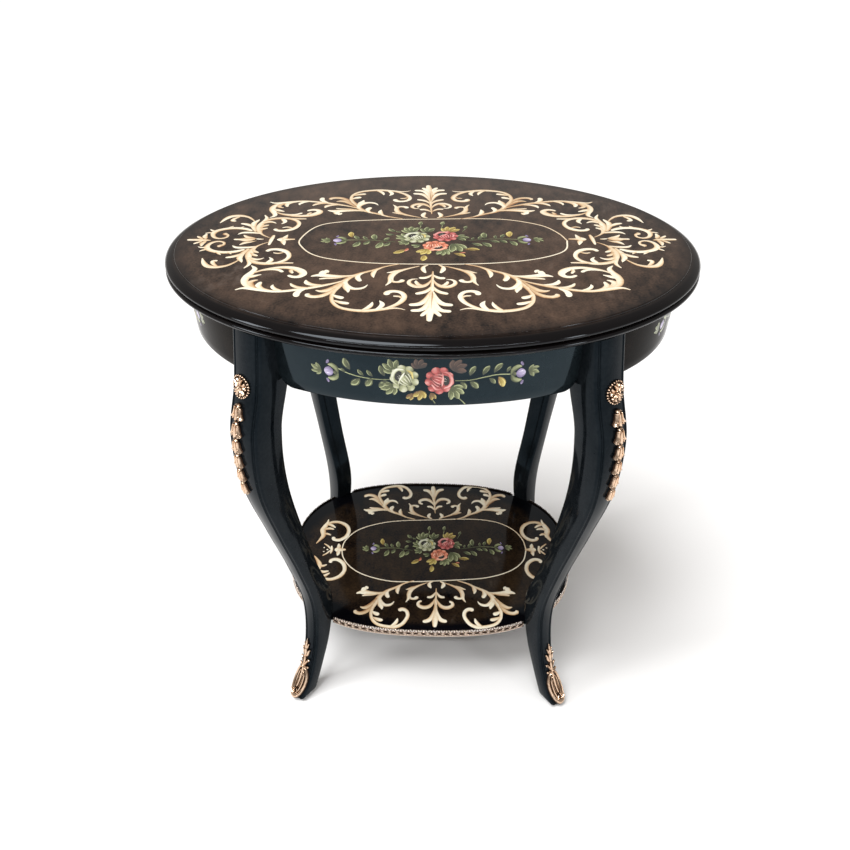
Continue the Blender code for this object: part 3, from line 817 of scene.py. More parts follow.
def brushed(row, order, tone):
    """A scroll's stroke, lying a little higher the later it was painted."""
    return row, 0, 0.16, 0.04 + 0.004 * (order % 25), tone


def thin_line(places, tone):
    """A thin line painted through places on a board."""
    return [(x, y, 1.9) for x, y in places], 0, 0.12, 0.03, tone


def quarter(strokes, sign_x, sign_y, hand):
    """One quarter's strokes laid in another quarter, each a little off, as a hand paints them."""
    laid = []
    for points, tone in strokes:
        off = (hand.uniform(-0.6, 0.6), hand.uniform(-0.6, 0.6))
        swell = hand.uniform(0.80, 0.92)
        row = []
        for x, y, width in points:
            x, y = turned(x, y, -PAINT_TURN)
            if sign_y > 0:
                y = -BACK_SQUEEZE[0] + y * BACK_SQUEEZE[1]
            x, y = turned(sign_x * x, -sign_y * y, PAINT_TURN)
            row.append((x + off[0], y + off[1], width * swell))
        # Strokes in the front half are made a little paler and those in the back half a little darker.
        tone_by_half = 0.04 if sign_y < 0 else -0.08
        laid.append(brushed(row, len(laid), tone + tone_by_half + hand.uniform(-0.12, 0.12)))
    return laid


ivory = paint("ivory_paint", (0.34, 0.15, 0.05), (0.72, 0.52, 0.30), (0.95, 0.88, 0.70))

palmette = [
    ([(3, -87, 0.8), (3, -100, 2.4), (3, -120, 3.2), (3, -140, 5.0)], 0.42),
    ([(3, -96, 1.0), (7, -102, 4.4), (12, -106, 6.2), (18.5, -106, 5.6)], 0.66),
    ([(3, -108, 1.0), (6.5, -119, 4.0), (12.5, -127, 7.6), (21, -128.5, 7.8), (28.0, -122, 6.2),
      (28.8, -115, 5.0), (25, -110, 3.4), (18, -109, 0.6)], 0.60),
    ([(11, -127, 3.0), (17.5, -124, 6.4), (20.5, -118, 5.2), (21, -114, 2.4)], 0.50),
    ([(3, -126, 1.0), (7, -137, 5.4), (12.5, -143, 6.8), (21, -147, 5.6)], 0.72),
    ([(4, -140, 3.0), (9, -160, 7.0), (16, -171, 8.6), (27, -173.5, 6.4)], 0.66),
    ([(4, -150, 3.0), (7.5, -175, 8.0), (14, -185.5, 8.0), (24.5, -187.5, 6.4)], 0.70),
    ([(3.4, -165, 3.0), (6.5, -186, 8.0), (10.5, -193, 6.4), (13.5, -199, 5.0)], 0.78),
    ([(9, -71, 2.2), (14.0, -76, 4.8), (14.6, -84, 7.0), (11.5, -93, 3.0)], 0.74),
]
palmette_middle = [
    ([(3, -138, 3.0), (3, -152, 8.0), (3, -170, 13.0), (2.6, -188, 11.0), (2.2, -200, 8.6),
      (2, -211, 6.4)], 0.62),
    ([(3, -138, 0.6), (2.8, -156, 5.4), (2.8, -170, 4.8), (3.0, -190, 0.6)], -0.02),
]
spray = [
    ([(16, -73, 1.4), (28, -79, 3.4), (38, -85, 5.6), (45.5, -92, 8.0), (49.5, -102, 7.6), (50.0, -112, 6.4),
      (52.5, -119, 3.2), (55.5, -124, 1.4)], 0.50),
    ([(36, -83, 3.0), (44, -87, 5.4), (50, -90, 4.2), (55, -91.5, 1.0)], 0.46),
    ([(50.5, -104, 3.0), (48, -113.5, 5.2), (42.5, -115.5, 5.2), (37.5, -113, 7.4), (36.4, -109, 8.2)], 0.64),
]
stem = [
    ([(40, -67.5, 2.0), (57, -74.5, 3.4), (71, -84, 4.6), (87, -93.5, 6.2), (97, -103, 7.4), (103, -113, 9.2),
      (109, -126, 9.0), (113.5, -139, 6.6), (115, -153, 5.4), (112.5, -166, 5.6), (105, -177, 6.0),
      (92, -183.5, 6.6), (76, -186, 7.4), (60, -183, 7.0), (48, -180.5, 4.2), (40, -181.5, 2.6),
      (34, -185, 1.0)], 0.52),
    ([(63, -184, 3.0), (52, -178.5, 5.4), (42, -170, 6.6), (36, -160, 7.4), (34.5, -150, 7.0),
      (38.5, -141.5, 6.6), (46.5, -138.5, 7.0), (53, -141.5, 8.6), (54.5, -148, 8.4)], 0.68),
    ([(37, -156, 2.0), (40.5, -151.5, 4.4), (47, -150.5, 2.4)], 0.50),
    ([(58, -74.5, 2.2), (66.5, -82, 4.6), (70, -90, 7.4), (70.6, -97, 5.6), (69.5, -103, 1.2)], 0.60),
    ([(80, -88, 2.6), (87, -95, 6.0), (88.6, -103, 7.8), (85, -112.5, 6.2)], 0.72),
    ([(88, -96, 2.6), (102, -99.5, 5.6), (116, -98.5, 7.6), (129, -96, 10.6), (136, -96.5, 6.6),
      (142, -99, 2.4)], 0.66),
    ([(130, -98, 8.0), (129.5, -90, 9.4), (127, -83.5, 9.4)], 0.92),
    ([(122.5, -89, 2.4), (123.5, -84.5, 5.0), (127, -82, 5.0)], 0.90),
    ([(99, -100, 2.6), (113, -103.5, 4.4), (124, -104.2, 4.6), (132, -106, 3.0)], 0.48),
    ([(99, -106, 4.0), (102, -116, 8.6), (98.5, -126, 9.6), (91, -131.5, 6.4), (83, -131, 5.4),
      (78, -126.5, 3.0), (75.6, -121, 0.8)], 0.80),
    ([(103, -119, 6.0), (100, -129, 9.0), (97.6, -136, 6.0), (97.2, -141.5, 1.4)], 0.76),
    ([(105, -112, 4.0), (112, -124, 7.4), (120, -134, 9.4), (128, -137, 6.6), (134.5, -134.5, 1.6)], 0.36),
    ([(113, -130, 3.6), (119, -141, 7.0), (127, -148.5, 8.0), (136, -150.5, 7.4), (142.5, -147, 7.4),
      (141.6, -142.5, 6.4)], 0.40),
    ([(115, -145, 1.6), (108.5, -151, 7.2), (101.5, -154.5, 7.6)], 0.76),
    ([(113.5, -160, 2.4), (104, -166, 7.2), (95.5, -168.5, 6.2)], 0.62),
    ([(82, -186, 4.0), (75, -179, 6.4), (71.2, -171.5, 5.2), (70, -164.5, 0.8)], 0.70),
    ([(66, -184, 4.0), (60.5, -176, 6.8), (59.2, -169, 6.2), (62.5, -161.5, 0.8)], 0.88),
]
corner_scroll = [
    ([(100, -107, 2.4), (114, -116, 3.8), (128, -122.5, 5.8), (141, -127.5, 6.4), (153, -131, 6.4),
      (167, -134.8, 6.0), (181, -135.6, 6.0), (195, -132, 7.0), (207, -128, 7.4), (217, -126.6, 4.6),
      (224.5, -131, 1.8)], 0.56),
    ([(128, -121, 3.0), (139, -119.5, 6.6), (145.6, -114.5, 7.2), (147.2, -107.5, 1.6)], 0.70),
    ([(143, -128, 4.0), (154, -127, 6.4), (161, -122.5, 6.0), (164.4, -116.5, 2.2)], 0.56),
    ([(144, -129, 2.6), (151.5, -135.5, 6.8), (154.6, -143, 8.6), (154, -150.5, 6.6)], 0.92),
    ([(170, -135, 3.0), (179, -130, 6.0), (183, -123.5, 4.8), (182.5, -118.5, 1.0)], 0.76),
    ([(184, -134, 3.0), (195, -129, 7.6), (200, -121, 8.4), (198, -111, 4.0)], 0.56),
    ([(198, -131, 4.0), (207, -123, 9.6), (210.6, -114, 9.0), (207, -108.5, 5.6), (202, -106.4, 2.2)], 0.38),
    ([(202, -129, 4.0), (212.5, -120, 8.8), (217, -108, 9.6), (215.4, -96, 10.4), (211, -84, 8.0),
      (209.6, -75, 6.2), (215, -66.5, 1.0)], 0.66),
    ([(217, -101, 5.0), (209.5, -97, 8.0), (203, -93.6, 4.0), (199.6, -92, 2.0)], 0.78),
    ([(210, -88, 3.0), (200.5, -80.5, 4.6), (190, -75.8, 5.8), (177, -73.4, 7.6), (164.5, -76, 9.6),
      (155, -83.5, 11.2), (151.6, -92, 9.6), (156, -98.6, 7.6), (163, -99, 6.4), (169, -94.6, 4.8)], 0.62),
    ([(164, -77, 3.4), (166.4, -82.5, 5.8), (163.6, -89.5, 3.6)], 0.44),
    ([(202, -82.5, 2.0), (190, -79.5, 3.4), (181, -80.6, 5.4), (175, -86.5, 4.8)], 0.86),
]
end_group = [
    ([(187, 11, 6), (184.6, 3, 8.4), (182.4, -7, 1.2)], 0.62),
    ([(218, 8.0, 0.0), (226, 4.2, 5.0), (232, 2.6, 8.0), (238.4, -4.4, 2.0)], 0.48),
    ([(262.5, -10, 6.6), (262, -6, 8.2), (258, -3, 5.0), (258.6, 4, 4.6), (265, 7.8, 4.6),
      (272, 5.4, 6.0), (276.6, -2, 7.2), (277, -12, 9.4), (270.6, -20, 8.6), (260, -25, 8.6),
      (249, -26, 8.4), (239, -23.5, 8.0), (230, -18, 5.0)], 0.60),
    ([(278, -10, 5.0), (283, -10.6, 4.2), (288, -8, 1.6)], 0.62),
    ([(276, -16, 5.0), (280.6, -18.6, 4.4), (284, -22, 1.6)], 0.60),
    ([(264, -24, 5.0), (259.6, -29.6, 4.0), (256.6, -33, 1.4)], 0.52),
    ([(250, -26, 4.0), (246, -29.6, 3.6), (243.6, -32.6, 1.2)], 0.52),
    ([(204, 2.6, 1.4), (212, -4, 3.0), (218, -12, 5.6), (222, -24, 11.4), (223, -38, 10.4), (220.4, -51, 7.6),
      (219, -62, 6.0), (223.6, -73, 1.8)], 0.56),
    ([(216, -10, 4.0), (229, -12.6, 6.6), (240.6, -12, 6.2), (246.4, -6, 1.2)], 0.76),
    ([(225, -16, 5.0), (231, -31, 8.4), (232.6, -44, 9.0), (229.6, -52, 5.4), (228, -57, 1.0)], 0.58),
    ([(221, -18, 5.0), (217, -25, 7.0), (211.6, -28.4, 3.2)], 0.48),
    ([(222, -29, 5.0), (216, -36, 7.0), (211.6, -38.6, 3.6)], 0.46),
    ([(222, -42, 5.0), (213.6, -48.4, 7.6), (207.6, -47.6, 4.6), (203, -44, 1.4)], 0.54),
    ([(222, -46, 4.0), (216.6, -54.4, 8.4), (207.6, -59.6, 8.8), (197.6, -61.2, 8.8), (187, -59.6, 7.4),
      (178, -52.6, 7.0), (174, -43.4, 6.8), (175.2, -33, 7.4), (181, -24.4, 9.0), (190, -19.6, 8.0),
      (198.6, -20.4, 7.4), (202.6, -25.6, 7.4)], 0.60),
    ([(190, -62, 3.0), (178, -59.8, 5.4), (166.4, -60, 3.4)], 0.50),
    ([(199, -60, 5.0), (194.6, -54, 7.8), (193.4, -48.4, 5.4), (197, -42.4, 1.0)], 0.88),
    ([(181, -29, 3.0), (187.4, -31.6, 4.4), (193.6, -29.4, 2.2)], 0.50),
    ([(230, -30, 4.0), (239.6, -38.8, 7.8), (249.4, -42.4, 4.4)], 0.62),
    ([(232, -48, 2.0), (237.6, -57, 3.8), (245, -65, 5.8), (256, -69, 8.2), (266.6, -66.4, 9.4),
      (273, -57, 7.4), (277.4, -43, 1.4)], 0.54),
    ([(256, -66, 4.0), (261.6, -58.6, 6.4), (263, -51.6, 6.4), (257.6, -50.4, 5.6)], 0.64),
    ([(282, 9, 5.0), (285.6, 2, 7.8), (285, -6.6, 2.6)], 0.56),
    ([(287, 9, 4.0), (292.4, 4.4, 5.4), (296, 0.6, 2.2)], 0.54),
]
end_middle = [
    ([(171, 10.6, 5.0), (177, 10.6, 5.4), (184, 10.4, 9.6), (187.4, 10.4, 15.0), (193.6, 10.4, 7.0)], 0.58),
    ([(198.6, 25, 4.4), (200.4, 12, 6.6), (201.8, -6, 3.4)], 0.66),
    ([(210, 12, 2.0), (215, 12.4, 4.0), (219.4, 13.4, 2.8)], 0.86),
    ([(221, 12, 2.0), (227.6, 11.6, 12.0), (234.6, 11.6, 12.4), (240, 12.2, 6.4), (248, 12.6, 5.2)], 0.52),
    ([(276, 11, 1.6), (284, 12, 9.0), (292, 13, 7.6), (306, 13.6, 5.6)], 0.60),
]


def halves(strokes):
    """Strokes and their mirror images about the palmette's middle line."""
    laid = list(strokes)
    for points, tone in strokes:
        laid.append(([(2 * PALMETTE_MIDDLE - x, y, width) for x, y, width in points], tone))
    return laid


def end_strokes(sign_x, hand):
    """The scrolls at one end of the oval, mirrored about the end's own middle line."""
    laid = []
    for strokes, signs in ((end_group, (1, -1)), (end_middle, (1,))):
        for sign_y in signs:
            for points, tone in strokes:
                off = (hand.uniform(-0.5, 0.5), hand.uniform(-0.5, 0.5))
                row = []
                for x, y, width in points:
                    x, y = turned(x, y - END_LIFT, -END_TURN)
                    x, y = turned(sign_x * x, sign_y * y, END_TURN, END_LIFT)
                    row.append((x + off[0], y + off[1], width * 0.80))
                laid.append(brushed(row, len(laid), tone + hand.uniform(-0.1, 0.1)))
    return laid


hand = random.Random(4)
top_strokes = []
for sign_y in (-1, 1):
    top_strokes += quarter(halves(palmette) + palmette_middle, 1, sign_y, hand)
    for sign_x in (-1, 1):
        top_strokes += quarter(spray + stem + corner_scroll, sign_x, sign_y, hand)
for sign_x in (-1, 1):
    top_strokes += end_strokes(sign_x, hand)
oval_line = [(169, 6), (160, 30), (140, 55), (100, 72.5), (60, 75.5), (0, 72.5), (-60, 69), (-120, 59.5),
             (-150, 42), (-165, 0), (-158, -25), (-140, -47), (-110, -60), (-60, -68), (0, -68.5), (40, -67),
             (80, -62.5), (120, -52.5), (150, -37), (165, -20), (169, 6)]
top_strokes.append(thin_line(oval_line, 0.72))


def on_board(face):
    """The surface for strokes on a board's face, in millimetres from its middle."""
    return lambda x, y, lift: Vector((x / 1000, y / 1000, face + (lift - 0.02) / 1000))


on_top = on_board(TOP_FACE)
top_scrolls = strokes_piece("top_scrollwork", top_strokes, on_top, [ivory], "brush")


# The flowers on the top: a pale, a pink and an orange rose with leaves round them, and a stem
# of small leaves to a lilac bud at each side, each petal and leaf one loaded brush stroke.
LEAF, OCHRE, PALE, PINK, ORANGE, LILAC, UMBER = range(7)
flower_paints = [
    paint("leaf_green_paint", (0.022, 0.032, 0.010), (0.100, 0.118, 0.040), (0.46, 0.50, 0.26)),
    paint("ochre_paint", (0.14, 0.07, 0.02), (0.42, 0.31, 0.06), (0.78, 0.66, 0.24)),
    paint("pale_rose_paint", (0.05, 0.055, 0.02), (0.40, 0.42, 0.23), (0.90, 0.90, 0.76)),
    paint("pink_rose_paint", (0.10, 0.010, 0.008), (0.48, 0.075, 0.070), (0.88, 0.46, 0.42)),
    paint("orange_rose_paint", (0.22, 0.035, 0.010), (0.72, 0.20, 0.10), (0.94, 0.62, 0.46)),
    paint("lilac_paint", (0.18, 0.14, 0.27), (0.42, 0.35, 0.56), (0.82, 0.77, 0.92)),
    paint("umber_paint", (0.004, 0.003, 0.002), (0.035, 0.016, 0.010), (0.13, 0.07, 0.045)),
]


def leaf(x, y, angle, length, width, tone, finish=LEAF):
    """A leaf from its stalk, at an angle in degrees: a body, a lit edge and a thin pale vein."""
    run = Vector((math.cos(math.radians(angle)), math.sin(math.radians(angle))))
    bow = Vector((-run.y, run.x)) * length
    strokes = []
    for stops, lift, shift in (
            (((0, 0.15, 0), (0.3, 0.8, 0.06), (0.62, 1.0, 0.07), (1.0, 0.42, 0)), 0.06, -0.30),
            (((0.05, 0.08, 0.0), (0.35, 0.16, 0.20), (0.7, 0.20, 0.23), (1.0, 0.16, 0.04)), 0.10, 0.24),
            (((0.05, 0.06, 0.0), (0.4, 0.10, -0.10), (0.8, 0.10, -0.11)), 0.11, 0.10)):
        points = [(x + run.x * length * s + bow.x * b, y + run.y * length * s + bow.y * b, width * w)
                  for s, w, b in stops]
        strokes.append((points, finish, 0.14, lift, tone + shift))
    return strokes


def leaves(*rows):
    """Leaves one after another, each given as leaf takes it."""
    return [stroke for row in rows for stroke in leaf(*row)]


def leaf_fan(x, y, angle, length, width, finish, tone, count, spread):
    """A lobed leaf made of a few leaves spread from one place."""
    laid = []
    for k in range(count):
        swing = (k - (count - 1) / 2) * spread
        reach = length * (1 - abs(swing) / 260)
        laid += leaf(x, y, angle + swing, reach, width, tone - 0.05 * (k % 2), finish)
    return laid


def rose(x, y, radius, tall, angle, finish, deep):
    """A full-blown rose: a ring of nine petals, seven over it, a striped bowl and a dark heart."""
    def at(u, v):
        u, v = turned(u * radius, v * radius, math.radians(angle))
        return x + u, y + v * tall

    def petal(places, width, pigment, tone, base):
        rows = [(*at(u, v), w * width * radius) for u, v, w in places]
        return rows, pigment, 0.16, base, tone

    laid = [petal(((-0.62, 0, 0.8), (0, 0, 1.0), (0.62, 0, 0.8)), 1.5, finish, -0.10, 0.05)]
    for count, skip, reaches, width, tone, base, step in (
            (9, 0.5, ((0.30, 0.3), (0.66, 0.9), (0.93, 0.86)), 0.70, 0.24, 0.08, 0.02),
            (7, 0.0, ((0.16, 0.3), (0.44, 0.9), (0.66, 0.8)), 0.56, 0.02, 0.12, 0.01)):
        for k in range(count):
            out = math.tau * (k + skip) / count
            u, v = math.cos(out), math.sin(out)
            places = [(u * reach, v * reach, w) for reach, w in reaches]
            laid.append(petal(places, width, finish, tone + 0.10 * (k % 2), base + step * (k % 2)))
    laid += [
        petal(((0.50, 0.34, 0.2), (0.60, 0.02, 0.9), (0.42, -0.36, 0.3)), 0.26, deep, 0.62, 0.15),
        petal(((0.0, -0.62, 0.5), (0.02, -0.16, 1.0), (0.0, 0.30, 0.8)), 0.96, finish, 0.20, 0.16)]
    for u, tone in ((-0.36, 0.50), (-0.19, 0.62), (0.0, 0.72), (0.19, 0.62), (0.36, 0.46)):
        laid.append(petal(((u * 0.4, -0.54, 0.5), (u * 1.0, -0.16, 0.9), (u * 1.1, 0.22 - abs(u) * 0.3, 0.6)),
                          0.12, finish, tone, 0.20))
    laid += [
        petal(((-0.40, 0.10, 0.5), (-0.30, 0.36, 1.0), (0.0, 0.50, 0.9), (0.18, 0.44, 0.3)),
              0.40, UMBER, -0.30, 0.21),
        petal(((-0.60, -0.10, 0.2), (-0.64, 0.30, 0.8), (-0.34, 0.68, 1.0), (0.08, 0.72, 0.8),
               (0.40, 0.44, 0.2)), 0.26, finish, 0.60, 0.22),
        petal(((-0.52, -0.02, 0.3), (-0.28, 0.12, 0.8), (0.0, 0.20, 0.9), (0.30, 0.30, 0.3)),
              0.18, finish, 0.72, 0.24)]
    for u, v in ((-0.22, 0.36), (-0.12, 0.44), (-0.26, 0.27), (-0.10, 0.34)):
        laid.append(petal(((u - 0.03, v, 1), (u, v, 1), (u + 0.03, v, 1)), 0.09, PALE, 0.95, 0.26))
    return laid


def bud(x, y, angle, size):
    """A lilac bud in its green cup, with small petals at its sides and a fan of leaves beyond."""
    def at(u, v):
        u, v = turned(u * size, v * size, math.radians(angle))
        return x + u, y + v

    def dab(places, width, finish, tone):
        return [(*at(u, v), w * width * size) for u, v, w in places], finish, 0.15, 0.10, tone

    laid = []
    for sign in (-1, 1):
        laid += [
            dab(((-1.5, 0, 0.3), (-1.15, sign * 0.8, 1.0), (-0.45, sign * 1.25, 0.9),
                 (0.1, sign * 1.15, 0.3)), 0.80, LEAF, 0.50),
            dab(((0.3, sign * 1.3, 0.5), (0.1, sign * 1.75, 0.7), (0.0, sign * 2.05, 0.3)),
                0.60, LILAC, -0.05)]
    laid += [
        dab(((-1.3, 0, 0.6), (-0.7, 0, 1.0)), 0.9, LEAF, 0.20),
        dab(((-0.75, 0, 0.9), (0, 0, 1.0), (0.7, 0, 0.8)), 1.7, LILAC, 0.30),
        dab(((-0.55, 0.3, 0.5), (0.35, 0.35, 0.8)), 0.55, LILAC, 0.60),
        dab(((-0.45, -0.25, 0.5), (0.5, -0.2, 0.8)), 0.40, LILAC, 0.50)]
    for swing, reach in ((-52, 1.3), (-18, 1.7), (18, 1.7), (52, 1.3)):
        laid += leaf(*at(1.15, 0), angle + swing, reach * size, 0.62 * size, 0.62)
    return laid


def vine(points, tone=0.42):
    """A thin stem."""
    return [(x, y, 1.3) for x, y in points], LEAF, 0.10, 0.05, tone


bouquet = [
    vine([(-45, -4), (-60, -2), (-75, 1), (-92, 1), (-110, 0)]),
    vine([(45, 2), (58, 5), (72, 8), (92, 9), (112, 8)]),
    vine([(-20, 30), (-16, 42), (-15, 50)]), vine([(10, 34), (12, 44), (13, 52)]),
    vine([(38, 30), (41, 37), (43, 42)]),
    *leaves((-15, 50, 88, 13, 6.4, 0.62), (13, 51, 84, 13, 6.6, 0.66), (42, 39, 78, 11, 5.0, 0.50),
        (-46, 28, 132, 14, 6.4, 0.50), (-47, 19, 168, 12, 6.0, 0.45), (-38, 26, 150, 9, 3.0, 0.4)),
    *leaf_fan(-24, 27, 112, 20, 8.6, LEAF, 0.60, 4, 30), *leaf_fan(-5, 27, 92, 18, 7.0, LEAF, 0.52, 3, 34),
    *leaf_fan(22, 28, 82, 20, 8.0, OCHRE, 0.48, 4, 30), *leaf_fan(-30, 12, 178, 17, 7.6, LEAF, 0.60, 4, 34),
    *leaf_fan(30, 11, 2, 17, 8.0, LEAF, 0.46, 3, 36), *leaf_fan(-30, -1, 222, 14, 6.4, LEAF, 0.56, 3, 34),
    *leaf_fan(24, -8, -62, 26, 9.0, LEAF, 0.60, 3, 26), *leaf_fan(12, -26, -70, 18, 7.6, LEAF, 0.66, 4, 28),
    *leaf_fan(-6, -24, -112, 18, 8.2, OCHRE, 0.62, 3, 30),
    *leaf_fan(-14, -12, 205, 12, 7.0, LEAF, 0.56, 2, 40),
    *leaves((-31, -26, 218, 19, 8.0, 0.46, OCHRE), (-29, -22, 250, 10, 5.0, 0.44, ORANGE),
        (40, -24, -4, 19, 6.6, 0.44, OCHRE), (27, -36, -34, 17, 6.0, 0.50, OCHRE),
        (-9, -42, -94, 17, 8.6, 0.58, OCHRE), (34, -36, 10, 8, 3.4, 0.40, ORANGE),
        (-59, -2, 62, 12, 7.0, 0.56), (-52, -5, 238, 14, 7.6, 0.50), (-70, 1, 98, 18, 8.4, 0.58),
        (-62, -4, 252, 20, 9.0, 0.66), (-80, 2, 118, 12, 5.0, 0.46), (-78, -1, 242, 13, 8.0, 0.52),
        (-90, 3, 122, 13, 6.2, 0.50), (-90, -3, 248, 18, 9.2, 0.54), (-100, 9, 98, 17, 8.0, 0.56, OCHRE)),
    *bud(-118, -1, 180, 7.4),
    *leaves((50, 4, 68, 9, 3.4, 0.42), (49, -6, -28, 15, 8.0, 0.52), (59, 5, 74, 12, 4.4, 0.44),
        (62, -3, -50, 17, 9.0, 0.52), (67, 10, 92, 18, 9.0, 0.54), (72, 3, -22, 13, 6.4, 0.46),
        (80, 9, 86, 11, 3.8, 0.42), (84, 5, -40, 12, 7.4, 0.50), (87, 11, 70, 13, 5.0, 0.46),
        (97, 3, -62, 16, 8.6, 0.54), (98, 15, 84, 18, 9.0, 0.64, OCHRE)),
    *bud(119, 7, 2, 7.4),
    *rose(17, 16, 17.5, 1.0, 20, PINK, PINK), *rose(-19, 11.5, 18.5, 1.02, 30, PALE, OCHRE),
    *rose(5, -15, 17.5, 0.94, -170, ORANGE, ORANGE),
]
top_flowers = strokes_piece("top_bouquet", bouquet, on_top, flower_paints, "brush")


# The painting on the shelf: the top's scheme made smaller, without the corner scrolls, and a
# pair of C-scrolls with a little three-lobed leaf at each end.
SHELF_MIDDLE = (8.0, 2.5)
TOP_LINE = 68.5
SHELF_LINES = {-1: 68.5, 1: 73.0}


def shelf_quarter(strokes, sign_x, sign_y, narrow, shallow, hand):
    """The top's scrolls drawn in and laid on the shelf, outwards from its oval line."""
    laid = []
    for points, tone in strokes:
        off = (hand.uniform(-0.5, 0.5), hand.uniform(-0.5, 0.5))
        row = []
        for x, y, width in points:
            x, y = turned(x, y, -PAINT_TURN)
            y = SHELF_LINES[sign_y] + (-y - TOP_LINE) * shallow
            x, y = turned(sign_x * x * narrow, sign_y * y, PAINT_TURN)
            row.append((x + SHELF_MIDDLE[0] + off[0], y + SHELF_MIDDLE[1] + off[1], width * 0.86))
        laid.append(brushed(row, len(laid), tone + hand.uniform(-0.10, 0.10)))
    return laid


shelf_palmette = [
    palmette[-1], ([(3, -92, 0.8), (3, -104, 2.0), (3, -124, 3.0), (3, -146, 5.0)], 0.42),
    ([(3, -104, 1.0), (7, -115, 4.6), (11, -121, 5.8), (17, -121.5, 4.6)], 0.66),
    ([(3, -122, 1.0), (7, -138, 4.6), (13, -150, 7.6), (21.5, -153, 8.0), (29, -147, 6.6), (29.4, -138, 5.4),
      (24.5, -133, 4.4)], 0.58),
    ([(4, -158, 3.0), (8, -180, 6.6), (13, -191, 8.2), (21.5, -195, 6.2)], 0.66)]
shelf_palmette_middle = [
    ([(3, -138, 3.0), (3, -158, 7.0), (3, -180, 10.0), (3, -196, 9.0), (3, -211, 6.0)], 0.62),
    ([(3, -148, 0.6), (3, -166, 3.8), (3, -188, 0.6)], -0.02)]
# The stem follows the top's as far as its lowest point, then curls inwards at once.
long_curve = stem[0][0][:13]
inward_curl = [(64, -181, 6.8), (56, -170, 6.6), (52, -158, 6.2), (54, -147, 6.6), (61, -142, 8.0),
               (68, -145, 9.0)]
shelf_stem = [(long_curve + inward_curl, 0.58)] + stem[3:-1]
shelf_end = [
    ([(192, 14, 1.4), (186, 24, 5.0), (182, 34, 8.0), (184, 46, 9.0), (181, 56, 8.0), (178, 64, 5.0),
      (177, 73, 0.8)], 0.56),
    ([(180, 58, 4.0), (171, 65, 6.0), (159, 65.5, 6.0), (147, 58, 6.6), (141.6, 45, 6.0), (145, 31, 6.4),
      (155, 22.5, 6.8), (164, 24, 6.0), (165, 30, 6.6)], 0.62),
    ([(181, 62, 4.0), (171, 58, 5.4), (164, 52, 2.4)], 0.60),
    ([(183, 47, 4.0), (174, 50, 5.6), (166, 48, 2.6)], 0.56),
    ([(183, 36, 4.0), (176, 37, 5.0), (170, 34, 2.0)], 0.50),
    ([(179, 14, 2.0), (172, 8, 3.0), (168, 2, 2.4)], 0.50),
    ([(155, 0, 5.0), (154.6, 8, 6.0), (155.6, 14, 1.6)], 0.62), ([(177, 4, 2.6), (179, 5, 2.6)], 0.9),
]
shelf_end_middle = [
    ([(143, 0, 4.4), (149, 0, 6.0), (155, 0, 12.0), (161, 0, 8.0)], 0.60),
    ([(166.6, -9, 2.4), (165.6, 0, 4.4), (166.6, 9, 2.4)], 0.66), ([(171, 0, 3.0), (174, 0, 3.0)], 0.9),
]
shelf_strokes = []
for sign_y, shallow_palmette, shallow in ((-1, 0.655, 0.780), (1, 0.615, 0.735)):
    shelf_strokes += shelf_quarter(
        halves(shelf_palmette) + shelf_palmette_middle, 1, sign_y, 0.95, shallow_palmette, hand)
    for sign_x in (-1, 1):
        shelf_strokes += shelf_quarter(spray + shelf_stem, sign_x, sign_y, 0.86, shallow, hand)
for strokes, signs in ((shelf_end, (-1, 1)), (shelf_end_middle, (1,))):
    for sign_x in (-1, 1):
        for sign_y in signs:
            for points, tone in strokes:
                row = []
                for x, y, width in points:
                    x, y = turned(sign_x * x, sign_y * y, PAINT_TURN)
                    row.append((x + SHELF_MIDDLE[0], y + SHELF_MIDDLE[1], width))
                shelf_strokes.append((row, 0, 0.16, 0.06, tone + hand.uniform(-0.1, 0.1)))
shelf_line = [(153, 6), (149, 29), (136, 52), (113, 69), (85, 76.5), (50, 77.5), (0, 74), (-50, 70.5),
              (-85, 63), (-118, 47), (-136, 24), (-141, 3), (-137, -20), (-122, -42), (-98, -58),
              (-60, -69), (-20, -69),
              (0, -67.5), (50, -63), (90, -57), (125, -42), (146, -20), (153, 6)]
shelf_strokes.append(thin_line(shelf_line, 0.78))
on_shelf = on_board(SHELF_FACE)
shelf_scrolls = strokes_piece("shelf_scrollwork", shelf_strokes, on_shelf, [ivory], "brush")
shelf_bouquet = []
for points, finish, rise, base, tone in bouquet:
    row = [(x * 0.86 + 10.5, y * 0.86 + 3.5, width * 0.88) for x, y, width in points]
    shelf_bouquet.append((row, finish, rise, base, tone))
shelf_flowers = strokes_piece("shelf_bouquet", shelf_bouquet, on_shelf, flower_paints, "brush")


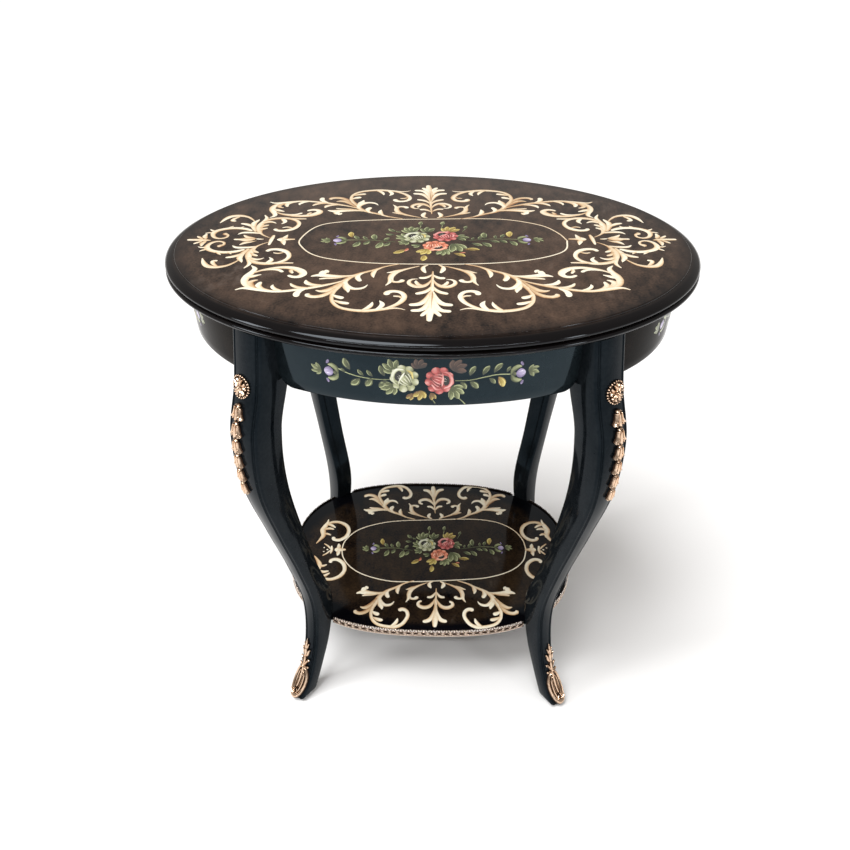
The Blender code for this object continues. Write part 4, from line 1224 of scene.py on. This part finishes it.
# The flowers on the aprons: on each side a pale and a pink rose side by side, lobed leaves
# round them, and a stem of small leaves running out to a lilac bud each way.
apron_flowers = [
    vine([(-38, 590), (-55, 589), (-72, 590), (-86, 593), (-98, 598)], 0.62),
    vine([(30, 590), (46, 590), (62, 593), (76, 595), (90, 594)], 0.62),
    *leaf_fan(-33, 602, 132, 17, 7.0, LEAF, 0.56, 4, 34),
    *leaf_fan(-36, 584, 222, 17, 7.0, LEAF, 0.60, 4, 32),
    *leaf_fan(25, 580, -42, 18, 7.4, LEAF, 0.62, 4, 30), *leaf_fan(-8, 606, 88, 13, 7.0, UMBER, 0.62, 4, 34),
    *leaf_fan(28, 603, 42, 17, 7.6, UMBER, 0.74, 4, 32),
    *leaf_fan(-7, 577, -100, 13, 6.6, OCHRE, 0.52, 3, 36),
    *leaf_fan(-16, 573, -120, 10, 5.6, OCHRE, 0.30, 2, 30),
    *leaf_fan(4, 574, -70, 10, 5.4, OCHRE, 0.30, 2, 30),
    vine([(2, 570), (6, 565), (9, 560)], 0.3), vine([(33, 568), (38, 563), (42, 558)], 0.5),
    *leaves((-45, 594, 108, 14, 7.0, 0.34), (-44, 589, 232, 13, 8.4, 0.42), (-60, 590, 238, 13, 8.4, 0.56),
        (-58, 592, 128, 10, 4.6, 0.40), (-68, 592, 130, 10, 4.6, 0.46), (-73, 588, 222, 14, 8.6, 0.58),
        (-83, 598, 112, 15, 8.4, 0.46), (-88, 594, 140, 7, 4.0, 0.46), (36, 588, -58, 11, 6.6, 0.52),
        (46, 588, -46, 13, 7.6, 0.56), (46, 596, 64, 13, 6.8, 0.48), (60, 596, 58, 13, 6.4, 0.48),
        (67, 591, -48, 10, 5.6, 0.50), (72, 598, 52, 14, 7.0, 0.46), (77, 592, -66, 15, 8.4, 0.62, OCHRE),
        (86, 597, 60, 8, 3.6, 0.44)),
    *bud(-108, 592, 176, 7.4), *bud(102, 594, 4, 7.4),
    *rose(-24, 592, 17.0, 1.14, 42, PALE, OCHRE), *rose(13.5, 590.5, 17.0, 1.14, -112, PINK, PINK),
]
for side, middle in (("right", 0.0), ("back", math.pi / 2), ("left", math.pi), ("front", -math.pi / 2)):
    walk = [(0.0, middle)]
    while walk[-1][0] < 150:
        turn = walk[-1][1] + 0.002
        step = (apron_face(turn, 0.59, 0) - apron_face(walk[-1][1], 0.59, 0)).length * 1000
        walk.append((walk[-1][0] + step, turn))
    distances = [row[0] for row in walk]

    def on_apron(along, up, lift):
        """A place on this apron, along from its middle and up from the floor, in millimetres."""
        k = min(max(bisect.bisect_right(distances, abs(along)) - 1, 0), len(walk) - 2)
        part = (abs(along) - distances[k]) / (distances[k + 1] - distances[k])
        swing = walk[k][1] + (walk[k + 1][1] - walk[k][1]) * part - middle
        return apron_face(middle + math.copysign(swing, along), up / 1000, (lift - 0.01) / 1000)

    flowers = strokes_piece("apron_flowers_" + side, apron_flowers, on_apron, flower_paints, "brush")
